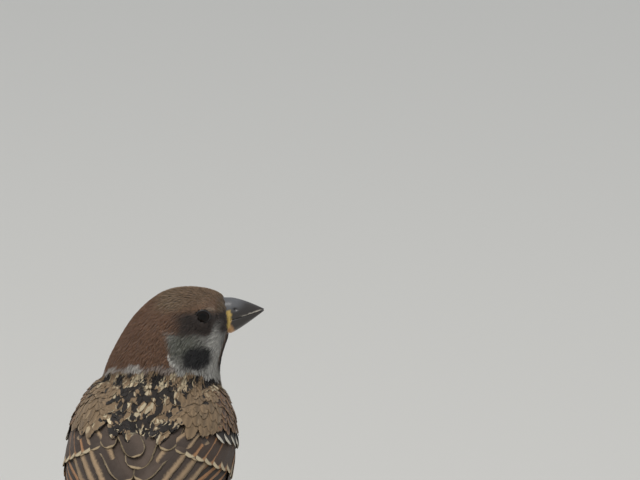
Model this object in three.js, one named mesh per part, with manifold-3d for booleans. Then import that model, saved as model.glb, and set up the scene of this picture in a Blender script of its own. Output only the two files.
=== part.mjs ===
// A young Eurasian tree sparrow (Passer montanus), life size, standing on flat ground and looking
// over its right shoulder. Millimetres, +Z up. The bird faces -Y, so its right side is at -X.
// Every solid gives the outline of the plumage, out to the tips of the feathers.
import * as THREE from "three";
import { mergeVertices } from "three/addons/utils/BufferGeometryUtils.js";
import Module from "manifold-3d";

const wasm = await Module();
wasm.setup();

// ---- driving dimensions ----
const GAP = 0.3; // clear space between neighbouring pieces
const LEFT = 1; // which hand of the bird, as the sign of X
const RIGHT = -1;
const SIDE = new THREE.Vector3(1, 0, 0); // towards the bird's left
const UP = new THREE.Vector3(0, 0, 1);

// The trunk's middle line runs from the neck down and back to the root of the tail.
const TRUNK_FRONT = new THREE.Vector3(0, -27, 69);
const TRUNK_BEND = new THREE.Vector3(0, -4, 40);
const TRUNK_REAR = new THREE.Vector3(0, 31, 27);
// [share of the trunk's length, half width, height above the middle line, depth below it]
const TRUNK_SIZES = [
  [-0.03, 1, 1, 1],
  [0.0, 12.0, 10.0, 11.0],
  [0.05, 15.8, 13.4, 15.2],
  [0.1, 17.8, 15.4, 17.4],
  [0.18, 19.8, 17.2, 19.6],
  [0.35, 21.4, 18.8, 21.6],
  [0.52, 20.8, 18.0, 21.2],
  [0.68, 18.0, 15.0, 18.8],
  [0.82, 13.4, 10.2, 14.4],
  [0.93, 9.6, 6.8, 10.2],
  [1.02, 7.0, 4.2, 6.8],
  [1.16, 5.6, 2.2, 3.8],
  [1.24, 2.8, 1.0, 1.8],
];
const TRUNK_RINGS = 24;
const TRUNK_SPOKES = 26;

// The head and neck are one hood of level layers, counted down from the crown.
const HEAD = new THREE.Vector3(-7.7, -20, 83); // middle of the skull
const HEAD_TURN = THREE.MathUtils.degToRad(80); // to the bird's right
const CROWN = 10.9; // height of the crown above the middle of the skull
// [depth below the crown, reach towards the bill, reach towards the nape, half width]
const HOOD_SIZES = [
  [0, 1.2, -1.0, 0.2],
  [0.25, 4.4, -3.2, 3.2],
  [0.85, 7.3, -5.6, 5.4],
  [1.5, 9.0, -7.2, 6.9],
  [2.9, 10.8, -9.4, 8.7],
  [5.7, 12.0, -12.7, 10.4],
  [9.1, 12.5, -15.7, 11.4],
  [13.1, 12.0, -18.3, 12.1],
  [17.1, 10.7, -20.5, 12.7],
  [20.6, 9.8, -22.2, 13.2],
  [23.5, 9.4, -23.2, 13.6],
  [26.5, 9.6, -24.0, 14.2],
  [31, 10.6, -24.4, 15.4],
  [37, 9.5, -22.0, 15.0],
  [44, 4.0, -15.0, 10.0],
];
const HOOD_RINGS = 22;
const HOOD_SPOKES = 24;
const HOOD_CROWDING = 1.7; // gathers the layers towards the crown

// Two slanting cuts part the hood into head and neck, and the neck from the trunk: height under
// the middle of the skull, and the slope up towards the bird's back.
const THROAT_CUT = { height: 71.2, slope: 0.3 };
const COLLAR_CUT = { height: 64.6, slope: 0.36 };

// Places on the head are forward, up and out to the side from the middle of the skull.
const EYE = { forward: 4.6, up: 4.7, out: 7.35, radius: 3.1, segments: 14, rings: 8 };
const GAPE = { forward: 11.0, up: 1.9 };
const BILL_TIP = { forward: 21.6, up: 4.5, half: 0.3 };
const BILL_BASE = { forward: 12.4, half: 3.7 };
const BILL_ROOT = 3.2; // length of bill hidden in the feathers of the face
// The bill's outer edges: height at the base, and how late each bends to the tip.
const CULMEN = { base: 7.8, curve: 1.5 };
const GONYS = { base: -2.1, curve: 1.15 };
const BILL_TAPER = 1.35; // above 1 the bill keeps its width longer towards the tip
const BILL_VAULT = 0.75; // below 1 the bill's section is fuller than a half round
const BILL_RINGS = 10;
const BILL_SPOKES = 10;

// Folded wings lie over the trunk's sides along the same middle line, past its rear end. Their bed
// is the wing's inner face: [share of the trunk's length, half width, height above, depth below].
const WING_BED = [
  [0.11, 18.6, 16.2, 18.3],
  [0.18, 20.5, 17.9, 20.3],
  [0.35, 22.1, 19.5, 22.3],
  [0.52, 21.6, 18.7, 21.9],
  [0.68, 19.4, 15.8, 19.5],
  [0.82, 16.0, 12.4, 15.2],
  [0.93, 13.0, 10.2, 12.4],
  [1.05, 10.2, 8.3, 9.4],
  [1.2, 7.0, 6.4, 6.6],
  [1.32, 4.8, 5.2, 5.0],
];
// [share of the trunk's length, degrees from the back's middle to the inner edge, to the outer edge]
const WING_EDGES = [
  [0.11, 62, 92],
  [0.16, 51, 102],
  [0.26, 38, 109],
  [0.45, 16, 112],
  [0.58, 3, 111],
  [0.85, 3, 106],
  [1.0, 6, 98],
  [1.1, 20, 89],
  [1.2, 38, 80],
  [1.32, 52, 66],
];
// [share of the trunk's length, thickness]
const WING_THICKNESS = [
  [0.11, 0.9],
  [0.2, 1.7],
  [0.38, 2.9],
  [0.6, 3.1],
  [0.85, 2.5],
  [1.05, 1.8],
  [1.32, 0.9],
];
const WING_RIM = 0.22; // the edges' share of the wing's thickness
const WING_RINGS = 19;
const WING_SPOKES = 8;
const COVERT_END = 0.5; // share of the trunk's length where the greater coverts end
// The inner and outer flight feathers part along a line: [share of the trunk's length, degrees].
const QUILL_PARTING = [
  [0.5, 64],
  [1.12, 20],
];

// The closed tail is a flat pack of feathers with a shallow notch.
const TAIL_ROOT = new THREE.Vector3(0, 29.5, 25.4);
const TAIL = { length: 56, rootHalf: 5.0, tipHalf: 8.2, thickness: 2.0, notch: 3.2, bevel: 0.4 };
const TAIL_DROP = THREE.MathUtils.degToRad(13);
const TAIL_CORNER = { along: 5, across: 4 }; // how far the round corners of the tip reach

// Legs: the feathered shank, the bare tarsus, and three toes forward with one behind.
const KNEE = new THREE.Vector3(8.5, -7, 33);
const ANKLE = new THREE.Vector3(9.6, 6.0, 17.6);
const SOLE = new THREE.Vector3(10.4, -0.8, 1.5);
// [share of the length, radius]
const SHANK_RADII = [
  [0, 6.4],
  [0.45, 4.6],
  [0.85, 2.1],
  [1, 1.5],
];
const TARSUS_RADII = [
  [0, 1.35],
  [0.12, 1.25],
  [0.3, 0.95],
  [0.75, 0.95],
  [1, 1.2],
];
const CLAW_RADII = [
  [0, 0.62],
  [0.5, 0.46],
  [1, 0.2],
];
const FOOT_PAD = { radius: 1.5, stretch: 1.15, height: 1.4 };
const FOOT_OUT = THREE.MathUtils.degToRad(9); // the whole foot turns out by this much
// Heading in degrees from straight ahead. Each toe is cut clear of those listed before it.
const TOES = [
  { name: "middle", heading: 0, length: 13.4, radius: 0.92, claw: 4.6 },
  { name: "hind", heading: 180, length: 7.6, radius: 0.95, claw: 5.6 },
  { name: "inner", heading: -29, length: 9.6, radius: 0.86, claw: 4.0 },
  { name: "outer", heading: 27, length: 9.8, radius: 0.84, claw: 4.0 },
];
const TOE_JOINTS = 3;
const TOE_SWELL = 0.16; // how much a joint's pad is thicker than the toe beside it
const TOE_TAPER = 0.22;
// A toe's middle line: [share of its length, height over its own radius]. The sole is pressed flat.
const TOE_ARCH = [
  [0.04, 0.55],
  [0.34, 0.3],
  [0.68, -0.1],
  [1, -0.12],
];
const CLAW_RISE = 0.75; // height of the claw's arch over the toe's middle
const CLAW_TIP = 0.22; // height of the claw's point

// ---- materials ----
const material = (color, roughness) => new THREE.MeshStandardMaterial({ color, roughness, metalness: 0 });
const CHESTNUT = material(0x6b4a36, 0.85);
const COLLAR = material(0x8f8a82, 0.85);
const MANTLE = material(0x7d6a52, 0.85);
const FLANK = material(0x94897a, 0.85);
const COVERT = material(0x5d4a3a, 0.8);
const QUILL = material(0x4a3c32, 0.7);
const HORN = material(0x35322f, 0.35);
const IRIS = material(0x120d0a, 0.05);
const LEG = material(0x9a7562, 0.55);
const CLAW = material(0x4b3a32, 0.4);

// ---- helpers ----

const sideName = (hand) => (hand === LEFT ? "left" : "right");
const mirrored = (place, hand) => new THREE.Vector3(hand * place.x, place.y, place.z);
const unit = (x, y, z) => new THREE.Vector3(x, y, z).normalize();

// Smooth values between stops. A stop is [position, ...values], and the slope at a stop is the
// harmonic mean of the slopes beside it, so that nothing overshoots.
function smooth(stops, position) {
  const last = stops.length - 1;
  const at = THREE.MathUtils.clamp(position, stops[0][0], stops[last][0]);
  let i = 0;
  while (i < last - 1 && at > stops[i + 1][0]) i++;
  const width = stops[i + 1][0] - stops[i][0];
  const u = (at - stops[i][0]) / width;
  return stops[i].slice(1).map((value, column) => {
    const k = column + 1;
    const chord = (j) => (stops[j + 1][k] - stops[j][k]) / (stops[j + 1][0] - stops[j][0]);
    const slope = (j) => {
      if (j === 0 || j === last) return chord(Math.min(j, last - 1));
      const [before, after] = [chord(j - 1), chord(j)];
      return before * after > 0 ? (2 * before * after) / (before + after) : 0;
    };
    const rise = (stops[i + 1][k] - value) * u * u * (3 - 2 * u);
    return value + rise + width * u * (1 - u) * ((1 - u) * slope(i) - u * slope(i + 1));
  });
}

// Evenly spaced rings: makes one at each share, from the first to the last.
const rings = (count, first, last, ring) =>
  Array.from({ length: count }, (_, i) => ring(THREE.MathUtils.lerp(first, last, i / (count - 1))));

// A closed skin over rings of points that follow one another, with a point at each end.
function loft(layers) {
  const count = layers[0].length;
  const middle = (ring) => ring.reduce((sum, p) => sum.add(p), new THREE.Vector3()).divideScalar(count);
  const points = [...layers.flat(), middle(layers[0]), middle(layers[layers.length - 1])];
  const [start, end] = [points.length - 2, points.length - 1];
  const last = (layers.length - 1) * count;
  const faces = [];
  for (let j = 0; j < count; j++) {
    const next = (j + 1) % count;
    faces.push(start, next, j, end, last + j, last + next);
    for (let base = 0; base < last; base += count) {
      faces.push(base + j, base + next, base + count + j);
      faces.push(base + next, base + count + next, base + count + j);
    }
  }
  return solid(new THREE.BufferGeometry().setFromPoints(points).setIndex(faces));
}

// A closed geometry as a solid, with its faces turned outwards.
function solid(geometry) {
  geometry.deleteAttribute("normal");
  geometry.deleteAttribute("uv");
  const merged = mergeVertices(geometry);
  const vertProperties = new Float32Array(merged.attributes.position.array);
  const triVerts = new Uint32Array(merged.index.array);
  const make = () => new wasm.Manifold(new wasm.Mesh({ numProp: 3, vertProperties, triVerts }));
  const made = make();
  if (made.volume() > 0) return made;
  triVerts.reverse();
  return make();
}

// The largest body of a cut solid, without the slivers beside it, as a named mesh.
function mesh(name, shape, look) {
  const body = shape.decompose().reduce((best, other) => (other.volume() > best.volume() ? other : best));
  const { numProp, vertProperties, triVerts } = body.getMesh();
  const places = new Float32Array(vertProperties.filter((_, i) => i % numProp < 3));
  const geometry = new THREE.BufferGeometry();
  geometry.setAttribute("position", new THREE.BufferAttribute(places, 3));
  geometry.setIndex(new THREE.BufferAttribute(new Uint32Array(triVerts), 1));
  geometry.computeVertexNormals();
  const made = new THREE.Mesh(geometry, look);
  made.name = name;
  return made;
}

// An oval ring round a centre. Its top and bottom may differ, and grow makes it larger all round.
function oval(centre, side, up, [half, top, bottom], count, grow) {
  return Array.from({ length: count }, (_, i) => {
    const angle = (2 * Math.PI * i) / count;
    const high = Math.cos(angle) > 0 ? top : bottom;
    return centre
      .clone()
      .addScaledVector(side, (half + grow) * Math.sin(angle))
      .addScaledVector(up, (high + grow) * Math.cos(angle));
  });
}

// A round, tapering rod along a curve.
function rod(curve, radii, steps, spokes, grow) {
  const { normals, binormals } = curve.computeFrenetFrames(steps);
  return loft(
    normals.map((normal, i) => {
      const [radius] = smooth(radii, i / steps);
      const sizes = [radius, radius, radius];
      return oval(curve.getPointAt(i / steps), normal, binormals[i], sizes, spokes, grow);
    }),
  );
}

// Both sides of a plane, first the one that its normal points away from, each half a gap from it.
function parted(shape, normal, level) {
  const near = shape.trimByPlane(normal.clone().negate().toArray(), GAP / 2 - level);
  const far = shape.trimByPlane(normal.toArray(), GAP / 2 + level);
  return [near, far];
}

// What stands on the ground, pressed flat where it would sink in.
const aboveGround = (shape) => shape.trimByPlane(UP.toArray(), 0);

// ---- trunk ----
const spine = new THREE.QuadraticBezierCurve3(TRUNK_FRONT, TRUNK_BEND, TRUNK_REAR);

// The middle line's place and directions at a share of its length. It runs on past both ends.
function spineFrame(share) {
  const step = 0.01;
  const backward = spine.getPoint(share + step).sub(spine.getPoint(share - step)).normalize();
  const dorsal = new THREE.Vector3().crossVectors(SIDE, backward);
  return { centre: spine.getPoint(share), backward, dorsal };
}

function trunkSolid(grow) {
  const [first, last] = [TRUNK_SIZES[0][0], TRUNK_SIZES[TRUNK_SIZES.length - 1][0]];
  return loft(
    rings(TRUNK_RINGS, first, last, (share) => {
      const { centre, dorsal } = spineFrame(share);
      return oval(centre, SIDE, dorsal, smooth(TRUNK_SIZES, share), TRUNK_SPOKES, grow);
    }),
  );
}

// ---- head and neck ----
const headForward = unit(-Math.sin(HEAD_TURN), -Math.cos(HEAD_TURN), 0);
const headRight = new THREE.Vector3().crossVectors(headForward, UP);

const onHead = (forward, up, out) =>
  HEAD.clone()
    .addScaledVector(headForward, forward)
    .addScaledVector(UP, up)
    .addScaledVector(headRight, out);

function hoodSolid(grow) {
  const deepest = HOOD_SIZES[HOOD_SIZES.length - 1][0];
  return loft(
    rings(HOOD_RINGS, 0, 1, (share) => {
      const depth = deepest * share ** HOOD_CROWDING;
      const [front, back, half] = smooth(HOOD_SIZES, depth);
      const reach = (front - back) / 2;
      const centre = onHead((front + back) / 2, CROWN - depth, 0);
      return oval(centre, headRight, headForward, [half, reach, reach], HOOD_SPOKES, grow);
    }),
  );
}

// Above and below a slanting cut through the neck.
function partedNeck(shape, { height, slope }) {
  const normal = unit(0, -slope, 1);
  return parted(shape, normal, height * normal.z + HEAD.y * normal.y);
}

// Height of the line where the two halves of the bill meet.
function billParting(forward) {
  const share = (forward - GAPE.forward) / (BILL_TIP.forward - GAPE.forward);
  return THREE.MathUtils.lerp(GAPE.up, BILL_TIP.up, share);
}

// One half of the bill, above or below its parting: a vaulted wedge from inside the face to the tip.
function billSolid({ base, curve }, grow) {
  const away = Math.sign(base - GAPE.up);
  return loft(
    rings(BILL_RINGS, BILL_BASE.forward - BILL_ROOT, BILL_TIP.forward, (forward) => {
      const out = Math.max(0, (forward - BILL_BASE.forward) / (BILL_TIP.forward - BILL_BASE.forward));
      const edge = THREE.MathUtils.lerp(base, BILL_TIP.up + away * BILL_TIP.half, out ** curve) + away * grow;
      const parting = billParting(forward) + away * (GAP / 2 - grow);
      const half = THREE.MathUtils.lerp(BILL_BASE.half, BILL_TIP.half, out ** BILL_TAPER) + grow;
      return rings(BILL_SPOKES, 0, Math.PI, (angle) => {
        const arch = Math.max(0, Math.sin(angle)) ** BILL_VAULT;
        return onHead(forward, THREE.MathUtils.lerp(parting, edge, arch), half * Math.cos(angle));
      });
    }),
  );
}

function eyeSolid(hand, grow) {
  const ball = new THREE.SphereGeometry(EYE.radius + grow, EYE.segments, EYE.rings);
  const { x, y, z } = onHead(EYE.forward, EYE.up, -hand * EYE.out);
  return solid(ball.translate(x, y, z));
}

// ---- wings ----

// A place over the wing's bed, lifted off it.
function overBed(hand, share, degrees, lift) {
  const { centre, dorsal } = spineFrame(share);
  const [half, top, bottom] = smooth(WING_BED, share);
  const angle = THREE.MathUtils.degToRad(degrees);
  const high = Math.cos(angle) > 0 ? top : bottom;
  return centre
    .addScaledVector(SIDE, hand * (half + lift) * Math.sin(angle))
    .addScaledVector(dorsal, (high + lift) * Math.cos(angle));
}

function wingSolid(hand) {
  const [first, last] = [WING_BED[0][0], WING_BED[WING_BED.length - 1][0]];
  return loft(
    rings(WING_RINGS, first, last, (share) => {
      const [inner, outer] = smooth(WING_EDGES, share);
      const [thickness] = smooth(WING_THICKNESS, share);
      const face = rings(WING_SPOKES, 0, 1, (k) => {
        const swell = Math.sqrt(Math.max(0, Math.sin(Math.PI * k)));
        const lift = thickness * THREE.MathUtils.lerp(WING_RIM, 1, swell);
        return overBed(hand, share, THREE.MathUtils.lerp(inner, outer, k), lift);
      });
      const back = rings(WING_SPOKES, outer, inner, (degrees) => overBed(hand, share, degrees, 0));
      return [...face, ...back];
    }),
  );
}

// A folded wing in three pieces: the covert shield, then the inner and the outer flight feathers.
function wingPieces(hand, neighbours) {
  const whole = wingSolid(hand).subtract(neighbours);
  const { centre, backward } = spineFrame(COVERT_END);
  const [coverts, quills] = parted(whole, backward, backward.dot(centre));
  const [from, to] = QUILL_PARTING.map(([share, degrees]) => overBed(hand, share, degrees, 0));
  const inwards = spineFrame(QUILL_PARTING[0][0]).centre.sub(from);
  const normal = to.clone().sub(from).cross(inwards).normalize().multiplyScalar(hand);
  const [outer, inner] = parted(quills, normal, normal.dot(from));
  return [
    mesh(`wing_${sideName(hand)}_coverts`, coverts, COVERT),
    mesh(`wing_${sideName(hand)}_inner_quills`, inner, COVERT),
    mesh(`wing_${sideName(hand)}_outer_quills`, outer, QUILL),
  ];
}

// ---- tail ----
function tailSolid(grow) {
  const { length, rootHalf, tipHalf, thickness, notch, bevel } = TAIL;
  const outline = new THREE.Shape();
  outline.moveTo(rootHalf, 0);
  outline.quadraticCurveTo(rootHalf, length / 2, tipHalf, length - TAIL_CORNER.along);
  outline.quadraticCurveTo(tipHalf, length, tipHalf - TAIL_CORNER.across, length);
  outline.lineTo(0, length - notch);
  outline.lineTo(TAIL_CORNER.across - tipHalf, length);
  outline.quadraticCurveTo(-tipHalf, length, -tipHalf, length - TAIL_CORNER.along);
  outline.quadraticCurveTo(-rootHalf, length / 2, -rootHalf, 0);
  const pack = new THREE.ExtrudeGeometry(outline, {
    depth: thickness - 2 * bevel,
    bevelSize: bevel + grow,
    bevelThickness: bevel + grow,
    bevelSegments: 1,
    curveSegments: 8,
  });
  pack.translate(0, 0, bevel - thickness / 2);
  pack.rotateX(-TAIL_DROP);
  pack.translate(...TAIL_ROOT.toArray());
  return solid(pack);
}

// ---- legs ----
function shankSolid(hand, grow) {
  const line = new THREE.LineCurve3(mirrored(KNEE, hand), mirrored(ANKLE, hand));
  return rod(line, SHANK_RADII, 6, 12, grow);
}

function tarsusSolid(hand, grow) {
  const sole = mirrored(SOLE, hand);
  const line = new THREE.LineCurve3(mirrored(ANKLE, hand), sole);
  const pad = new THREE.SphereGeometry(FOOT_PAD.radius + grow, 10, 6);
  pad.scale(1, FOOT_PAD.stretch, 1);
  pad.translate(sole.x, sole.y, FOOT_PAD.height);
  return rod(line, TARSUS_RADII, 6, 8, grow).add(solid(pad));
}

// A toe's place above the ground at a reach ahead of the sole.
function onToe(hand, toe, reach, height) {
  const turn = FOOT_OUT + THREE.MathUtils.degToRad(toe.heading);
  const ahead = unit(hand * Math.sin(turn), -Math.cos(turn), 0);
  return mirrored(SOLE, hand).setZ(height).addScaledVector(ahead, reach);
}

function toeSolid(hand, toe, grow) {
  const steps = 2 * TOE_JOINTS;
  const line = new THREE.CatmullRomCurve3(
    TOE_ARCH.map(([share, rise]) => onToe(hand, toe, share * toe.length, toe.radius + rise)),
  );
  const radii = Array.from({ length: steps + 1 }, (_, i) => {
    const swell = i % 2 ? 1 + TOE_SWELL : 1 - TOE_SWELL / 2;
    return [i / steps, toe.radius * swell * (1 - TOE_TAPER * (i / steps))];
  });
  return rod(line, radii, steps, 8, grow);
}

function clawSolid(hand, toe) {
  const line = new THREE.QuadraticBezierCurve3(
    onToe(hand, toe, toe.length, toe.radius),
    onToe(hand, toe, toe.length + toe.claw / 2, toe.radius + CLAW_RISE),
    onToe(hand, toe, toe.length + toe.claw, CLAW_TIP),
  );
  return rod(line, CLAW_RADII, 4, 6, 0);
}

function footPieces(hand) {
  let taken = tarsusSolid(hand, GAP);
  return TOES.flatMap((toe) => {
    const toeShape = aboveGround(toeSolid(hand, toe, 0)).subtract(taken);
    const clawShape = aboveGround(clawSolid(hand, toe)).subtract(toeSolid(hand, toe, GAP));
    taken = taken.add(toeSolid(hand, toe, GAP));
    return [
      mesh(`toe_${sideName(hand)}_${toe.name}`, toeShape, LEG),
      mesh(`claw_${sideName(hand)}_${toe.name}`, clawShape, CLAW),
    ];
  });
}

function legPieces(hand) {
  const shank = shankSolid(hand, 0).subtract(trunkSolid(GAP));
  const tarsus = aboveGround(tarsusSolid(hand, 0)).subtract(shankSolid(hand, GAP));
  return [
    mesh(`shank_${sideName(hand)}`, shank, FLANK),
    mesh(`tarsus_${sideName(hand)}`, tarsus, LEG),
    ...footPieces(hand),
  ];
}

// ---- the whole bird ----
function bird() {
  const group = new THREE.Group();
  const sockets = [eyeSolid(LEFT, GAP), eyeSolid(RIGHT, GAP), billSolid(CULMEN, GAP), billSolid(GONYS, GAP)];
  const flesh = sockets.reduce((body, socket) => body.subtract(socket), trunkSolid(0).add(hoodSolid(0)));
  const [belowThroat, head] = partedNeck(flesh, THROAT_CUT);
  const [belowCollar, neck] = partedNeck(belowThroat, COLLAR_CUT);
  group.add(mesh("head", head, CHESTNUT));
  group.add(mesh("neck", neck, COLLAR));
  group.add(mesh("trunk", belowCollar.subtract(tailSolid(GAP)), MANTLE));
  group.add(mesh("tail", tailSolid(0), QUILL));
  group.add(mesh("bill_upper", billSolid(CULMEN, 0), HORN));
  group.add(mesh("bill_lower", billSolid(GONYS, 0), HORN));
  for (const hand of [LEFT, RIGHT]) {
    const neighbours = hoodSolid(GAP).add(tailSolid(GAP)).add(shankSolid(hand, GAP));
    group.add(mesh(`eye_${sideName(hand)}`, eyeSolid(hand, 0), IRIS));
    group.add(...wingPieces(hand, neighbours));
    group.add(...legPieces(hand));
  }
  return group;
}

// The origin is on the ground, under the middle of the whole bird.
function centred(group) {
  const box = new THREE.Box3().setFromObject(group, true);
  const middle = box.getCenter(new THREE.Vector3());
  group.position.set(-middle.x, -middle.y, -box.min.z);
  return group;
}

export default centred(bird());
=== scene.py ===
# %% [markdown]
# # A young tree sparrow, feather by feather
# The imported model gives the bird's outline, out to the tips of its feathers. This lesson dresses it:
# one skin lies inside the solids, and every feather is a thin closed vane that grows from the skin
# and ends at the outline. Lengths are written in millimetres and turned into metres at the very end.

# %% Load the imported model
import math

import bpy
import numpy as np
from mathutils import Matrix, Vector
from mathutils.bvhtree import BVHTree


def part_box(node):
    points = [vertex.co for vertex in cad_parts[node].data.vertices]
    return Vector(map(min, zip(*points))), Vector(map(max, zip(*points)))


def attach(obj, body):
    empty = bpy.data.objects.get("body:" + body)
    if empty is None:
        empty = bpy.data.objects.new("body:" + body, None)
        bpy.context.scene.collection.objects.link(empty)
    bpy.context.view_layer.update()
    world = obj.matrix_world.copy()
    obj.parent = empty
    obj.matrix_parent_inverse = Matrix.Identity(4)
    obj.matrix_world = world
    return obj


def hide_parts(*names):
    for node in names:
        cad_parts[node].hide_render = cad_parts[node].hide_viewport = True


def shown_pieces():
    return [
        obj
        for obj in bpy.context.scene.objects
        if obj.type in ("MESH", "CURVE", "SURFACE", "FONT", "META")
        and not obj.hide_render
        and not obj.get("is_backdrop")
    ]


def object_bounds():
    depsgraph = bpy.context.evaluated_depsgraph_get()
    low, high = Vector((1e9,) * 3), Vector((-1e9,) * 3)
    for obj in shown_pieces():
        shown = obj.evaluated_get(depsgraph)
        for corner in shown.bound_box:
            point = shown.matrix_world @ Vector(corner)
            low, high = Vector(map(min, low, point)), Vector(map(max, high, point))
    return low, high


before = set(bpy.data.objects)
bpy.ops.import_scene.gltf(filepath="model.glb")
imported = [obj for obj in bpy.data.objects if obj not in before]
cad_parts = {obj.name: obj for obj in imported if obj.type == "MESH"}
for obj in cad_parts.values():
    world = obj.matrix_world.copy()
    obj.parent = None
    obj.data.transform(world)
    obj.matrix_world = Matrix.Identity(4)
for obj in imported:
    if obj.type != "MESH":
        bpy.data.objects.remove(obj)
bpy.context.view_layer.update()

MM = 0.001
rng = np.random.default_rng(11)

# %% [markdown]
# ## Small helpers
# A feathered bird is thousands of small shapes, so nearly everything is worked out on whole arrays
# at once. A soft step and a mix of colours are used everywhere. Colours are written as a painter
# would read them off a chart, from 0 to 255, and turned into linear light once.

# %% Helpers for arrays and colours


def unit(v):
    length = np.linalg.norm(v, axis=-1, keepdims=True)
    return v / np.maximum(length, 1e-9)


def ramp(x, low, high):
    t = np.clip((x - low) / (high - low), 0.0, 1.0)
    return t * t * (3 - 2 * t)


def lerp(a, b, t):
    return a + (b - a) * t


def mixed(a, b, t):
    return a + (b - a) * np.asarray(t)[..., None]


def paint(r, g, b):
    c = np.array([r, g, b]) / 255.0
    return np.where(c <= 0.04045, c / 12.92, ((c + 0.055) / 1.055) ** 2.4)


def dot(a, b):
    return np.sum(a * b, axis=-1)


print("one unit of mid grey is", paint(128, 128, 128).round(3), "in linear light")

# %% [markdown]
# ## Objects, pieces and materials
# Every object joins the scene the same way. A piece of the bird also rides on a body, and the imported
# solids it stands for are hidden. Each material starts from the principled shader, because that one
# shader can be horn, feather or wet eye.

# %% Helpers for objects and materials


def added(name, data):
    thing = bpy.data.objects.new(name, data)
    bpy.context.scene.collection.objects.link(thing)
    return thing


def put_in_place(name, mesh, replaced=()):
    """Make the mesh a smooth piece of the bird on one body, and hide the solids it stands for."""
    mesh.polygons.foreach_set("use_smooth", np.ones(len(mesh.polygons), bool))
    piece = added(name, mesh)
    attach(piece, "root")
    if replaced:
        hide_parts(*replaced)
    return piece


def new_material(name, roughness):
    material = bpy.data.materials.new(name)
    material.use_nodes = True
    shader = material.node_tree.nodes["Principled BSDF"]
    shader.inputs["Roughness"].default_value = roughness
    return material, material.node_tree, shader


print("helpers ready: added, put_in_place, new_material")

# %% [markdown]
# ## Where the head is
# The two eyes give the head its own axes: forward to the bill, up, and out through the right eye.
# Every marking on the head is placed with these three distances from the middle of the skull.

# %% The head's axes
EYE_FORWARD = 4.6
EYE_UP = 4.7
EYE_OUT = 7.35
EYE_RADIUS = 3.1


def middle_of(node):
    low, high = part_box(node)
    return np.array((low + high) / 2) / MM


eye_places = {side: middle_of(f"eye_{side}") for side in ("left", "right")}
HEAD_UP = np.array([0.0, 0.0, 1.0])
HEAD_OUT = unit(eye_places["right"] - eye_places["left"])
HEAD_FORWARD = np.cross(HEAD_UP, HEAD_OUT)
SKULL = (eye_places["left"] + eye_places["right"]) / 2 - HEAD_FORWARD * EYE_FORWARD - HEAD_UP * EYE_UP


def to_head(places):
    away = places - SKULL
    return dot(away, HEAD_FORWARD), dot(away, HEAD_UP), dot(away, HEAD_OUT)


def from_head(forward, up, out):
    return SKULL + np.multiply.outer(forward, HEAD_FORWARD) + np.multiply.outer(up, HEAD_UP) \
        + np.multiply.outer(out, HEAD_OUT)


print("skull, mm:", SKULL.round(1))

# %% [markdown]
# ## Where the body is
# The trunk and the folded wings follow one curved middle line from the neck to the tail. A place on
# the body is a share of that line and an angle round it: 0 degrees is the middle of the back, 180
# the middle of the belly, and the bird's left is positive. The curve is set out from the skull.

# %% The body's middle line
DRAWING_ORIGIN = SKULL - np.array([-7.7, -20.0, 83.0])
SPINE = DRAWING_ORIGIN + np.array([[0.0, -27.0, 69.0], [0.0, -4.0, 40.0], [0.0, 31.0, 27.0]])
LEFT = np.array([1.0, 0.0, 0.0])


def spine_frame(share):
    s = np.asarray(share, float)[..., None]
    centre = (1 - s) ** 2 * SPINE[0] + 2 * s * (1 - s) * SPINE[1] + s ** 2 * SPINE[2]
    backward = unit((1 - s) * (SPINE[1] - SPINE[0]) + s * (SPINE[2] - SPINE[1]))
    return centre, backward, np.cross(LEFT, backward)


SHARE_STEPS = np.linspace(-0.2, 1.45, 166)
STEP_CENTRES, STEP_BACKWARDS, STEP_DORSALS = spine_frame(SHARE_STEPS)


def to_body(places):
    """The share, the angle and the distance from the middle line of each place."""
    away = places[:, None, :] - STEP_CENTRES[None]
    off = np.linalg.norm(away, axis=-1) + 3 * np.abs(np.einsum("nsk,sk->ns", away, STEP_BACKWARDS))
    best = off.argmin(axis=1)
    near = away[np.arange(len(places)), best]
    angle = np.degrees(np.arctan2(near[:, 0], dot(near, STEP_DORSALS[best])))
    return SHARE_STEPS[best], angle, np.linalg.norm(near, axis=-1)


print("middle line runs", spine_frame(0.0)[0].round(1), "to", spine_frame(1.0)[0].round(1))

# %% [markdown]
# ## The camera
# The bird is watched from behind its right shoulder, from far away and a little above. A long lens
# keeps it free of perspective.

# %% The camera
CAMERA_AZIMUTH = math.radians(190)
CAMERA_ELEVATION = math.radians(12)
CAMERA_DISTANCE = 3000.0
FRAME_WIDTH = 179.2
BILL_TO_FRAME_MIDDLE = (15.7, 19.5)
SENSOR = 36.0
BILL_TIP = from_head(21.6, 4.5, 0.0)

camera_back = np.array([
    math.sin(CAMERA_AZIMUTH) * math.cos(CAMERA_ELEVATION),
    -math.cos(CAMERA_AZIMUTH) * math.cos(CAMERA_ELEVATION),
    math.sin(CAMERA_ELEVATION),
])
camera_right = np.array([math.cos(CAMERA_AZIMUTH), math.sin(CAMERA_AZIMUTH), 0.0])
camera_up = np.cross(camera_back, camera_right)
aim = BILL_TIP + camera_right * BILL_TO_FRAME_MIDDLE[0] + camera_up * BILL_TO_FRAME_MIDDLE[1]
camera = added("camera", bpy.data.cameras.new("camera"))
camera.data.sensor_width = SENSOR
camera.data.lens = SENSOR * CAMERA_DISTANCE / FRAME_WIDTH
camera.data.clip_start = 0.1
camera.data.clip_end = 50.0
camera.location = Vector((aim + camera_back * CAMERA_DISTANCE) * MM)
camera.rotation_euler = Vector(-camera_back).to_track_quat("-Z", "Y").to_euler()
bpy.context.scene.camera = camera
print("camera at, m:", [round(v, 2) for v in camera.location])

# %% [markdown]
# ## Floor and light
# The floor is one pale sheet that fills the view. The light comes from a bright sky, with one large
# soft lamp overhead, as on an overcast noon. A hard lamp would draw every feather's edge in black.

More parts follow.
